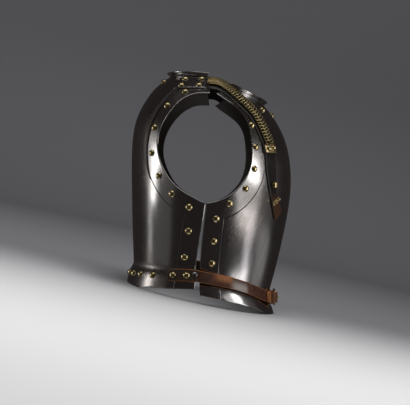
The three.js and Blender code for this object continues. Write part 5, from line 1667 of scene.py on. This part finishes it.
class CUIRASS_OT_rivets(bpy.types.Operator):
    """Set the brass rivets on both plates"""
    bl_idname = "cuirass.rivets"
    bl_label = "Rivets"

    def execute(self, context):
        body = body_of_settings()
        for plate, rivets, extra, node in (
            (body.breast, BREAST_RIVETS, BREAST_EXTRA_RIVETS, "breastplate"),
            (body.back, BACK_RIVETS, BACK_EXTRA_RIVETS, "backplate"),
        ):
            rivets_piece(body, plate, rivets, extra, f"{node}_rivets", node)
        return {"FINISHED"}


class CUIRASS_OT_straps(bpy.types.Operator):
    """Build the shoulder straps with their chains, plates and studs"""
    bl_idname = "cuirass.straps"
    bl_label = "Shoulder straps"

    def execute(self, context):
        strap_pieces(body_of_settings())
        return {"FINISHED"}


class CUIRASS_OT_belt(bpy.types.Operator):
    """Build the waist belt with its buckle, keeper and rivets"""
    bl_idname = "cuirass.belt"
    bl_label = "Belt"

    def execute(self, context):
        belt_pieces(body_of_settings())
        return {"FINISHED"}


class CUIRASS_OT_stage(bpy.types.Operator):
    """Set up the floor, backdrop, lights and camera"""
    bl_idname = "cuirass.stage"
    bl_label = "Stage"

    def execute(self, context):
        build_stage(body_of_settings())
        return {"FINISHED"}


OPERATORS = (
    CUIRASS_OT_breastplate, CUIRASS_OT_backplate, CUIRASS_OT_rivets,
    CUIRASS_OT_straps, CUIRASS_OT_belt, CUIRASS_OT_stage,
)
GROUPS = {
    "cuirass_plates": CuirassPlateSizes,
    "cuirass_trim": CuirassTrimSizes,
    "cuirass_belt": CuirassBeltSizes,
    "cuirass_finishes": CuirassFinishes,
}


class CUIRASS_PT_panel(bpy.types.Panel):
    """Sizes, finishes and pieces of the cuirass"""
    bl_idname = "CUIRASS_PT_panel"
    bl_label = "Cuirass"
    bl_space_type = "VIEW_3D"
    bl_region_type = "UI"
    bl_category = "Cuirass"

    def draw(self, context):
        for operator in OPERATORS:
            self.layout.operator(operator.bl_idname)
        for name, group in GROUPS.items():
            box = self.layout.box()
            for item in group.__annotations__:
                box.prop(getattr(context.scene, name), item)


def register():
    for group in GROUPS.values():
        bpy.utils.register_class(group)
    for name, group in GROUPS.items():
        setattr(bpy.types.Scene, name, bpy.props.PointerProperty(type=group))
    for operator in OPERATORS:
        bpy.utils.register_class(operator)
    bpy.utils.register_class(CUIRASS_PT_panel)


def unregister():
    bpy.utils.unregister_class(CUIRASS_PT_panel)
    for operator in reversed(OPERATORS):
        bpy.utils.unregister_class(operator)
    for name, group in GROUPS.items():
        delattr(bpy.types.Scene, name)
        bpy.utils.unregister_class(group)


def main():
    register()
    bpy.ops.cuirass.stage()
    bpy.ops.cuirass.breastplate()
    bpy.ops.cuirass.backplate()
    bpy.ops.cuirass.rivets()
    bpy.ops.cuirass.straps()
    bpy.ops.cuirass.belt()
    bpy.context.view_layer.update()


if __name__ == "__main__":
    main()
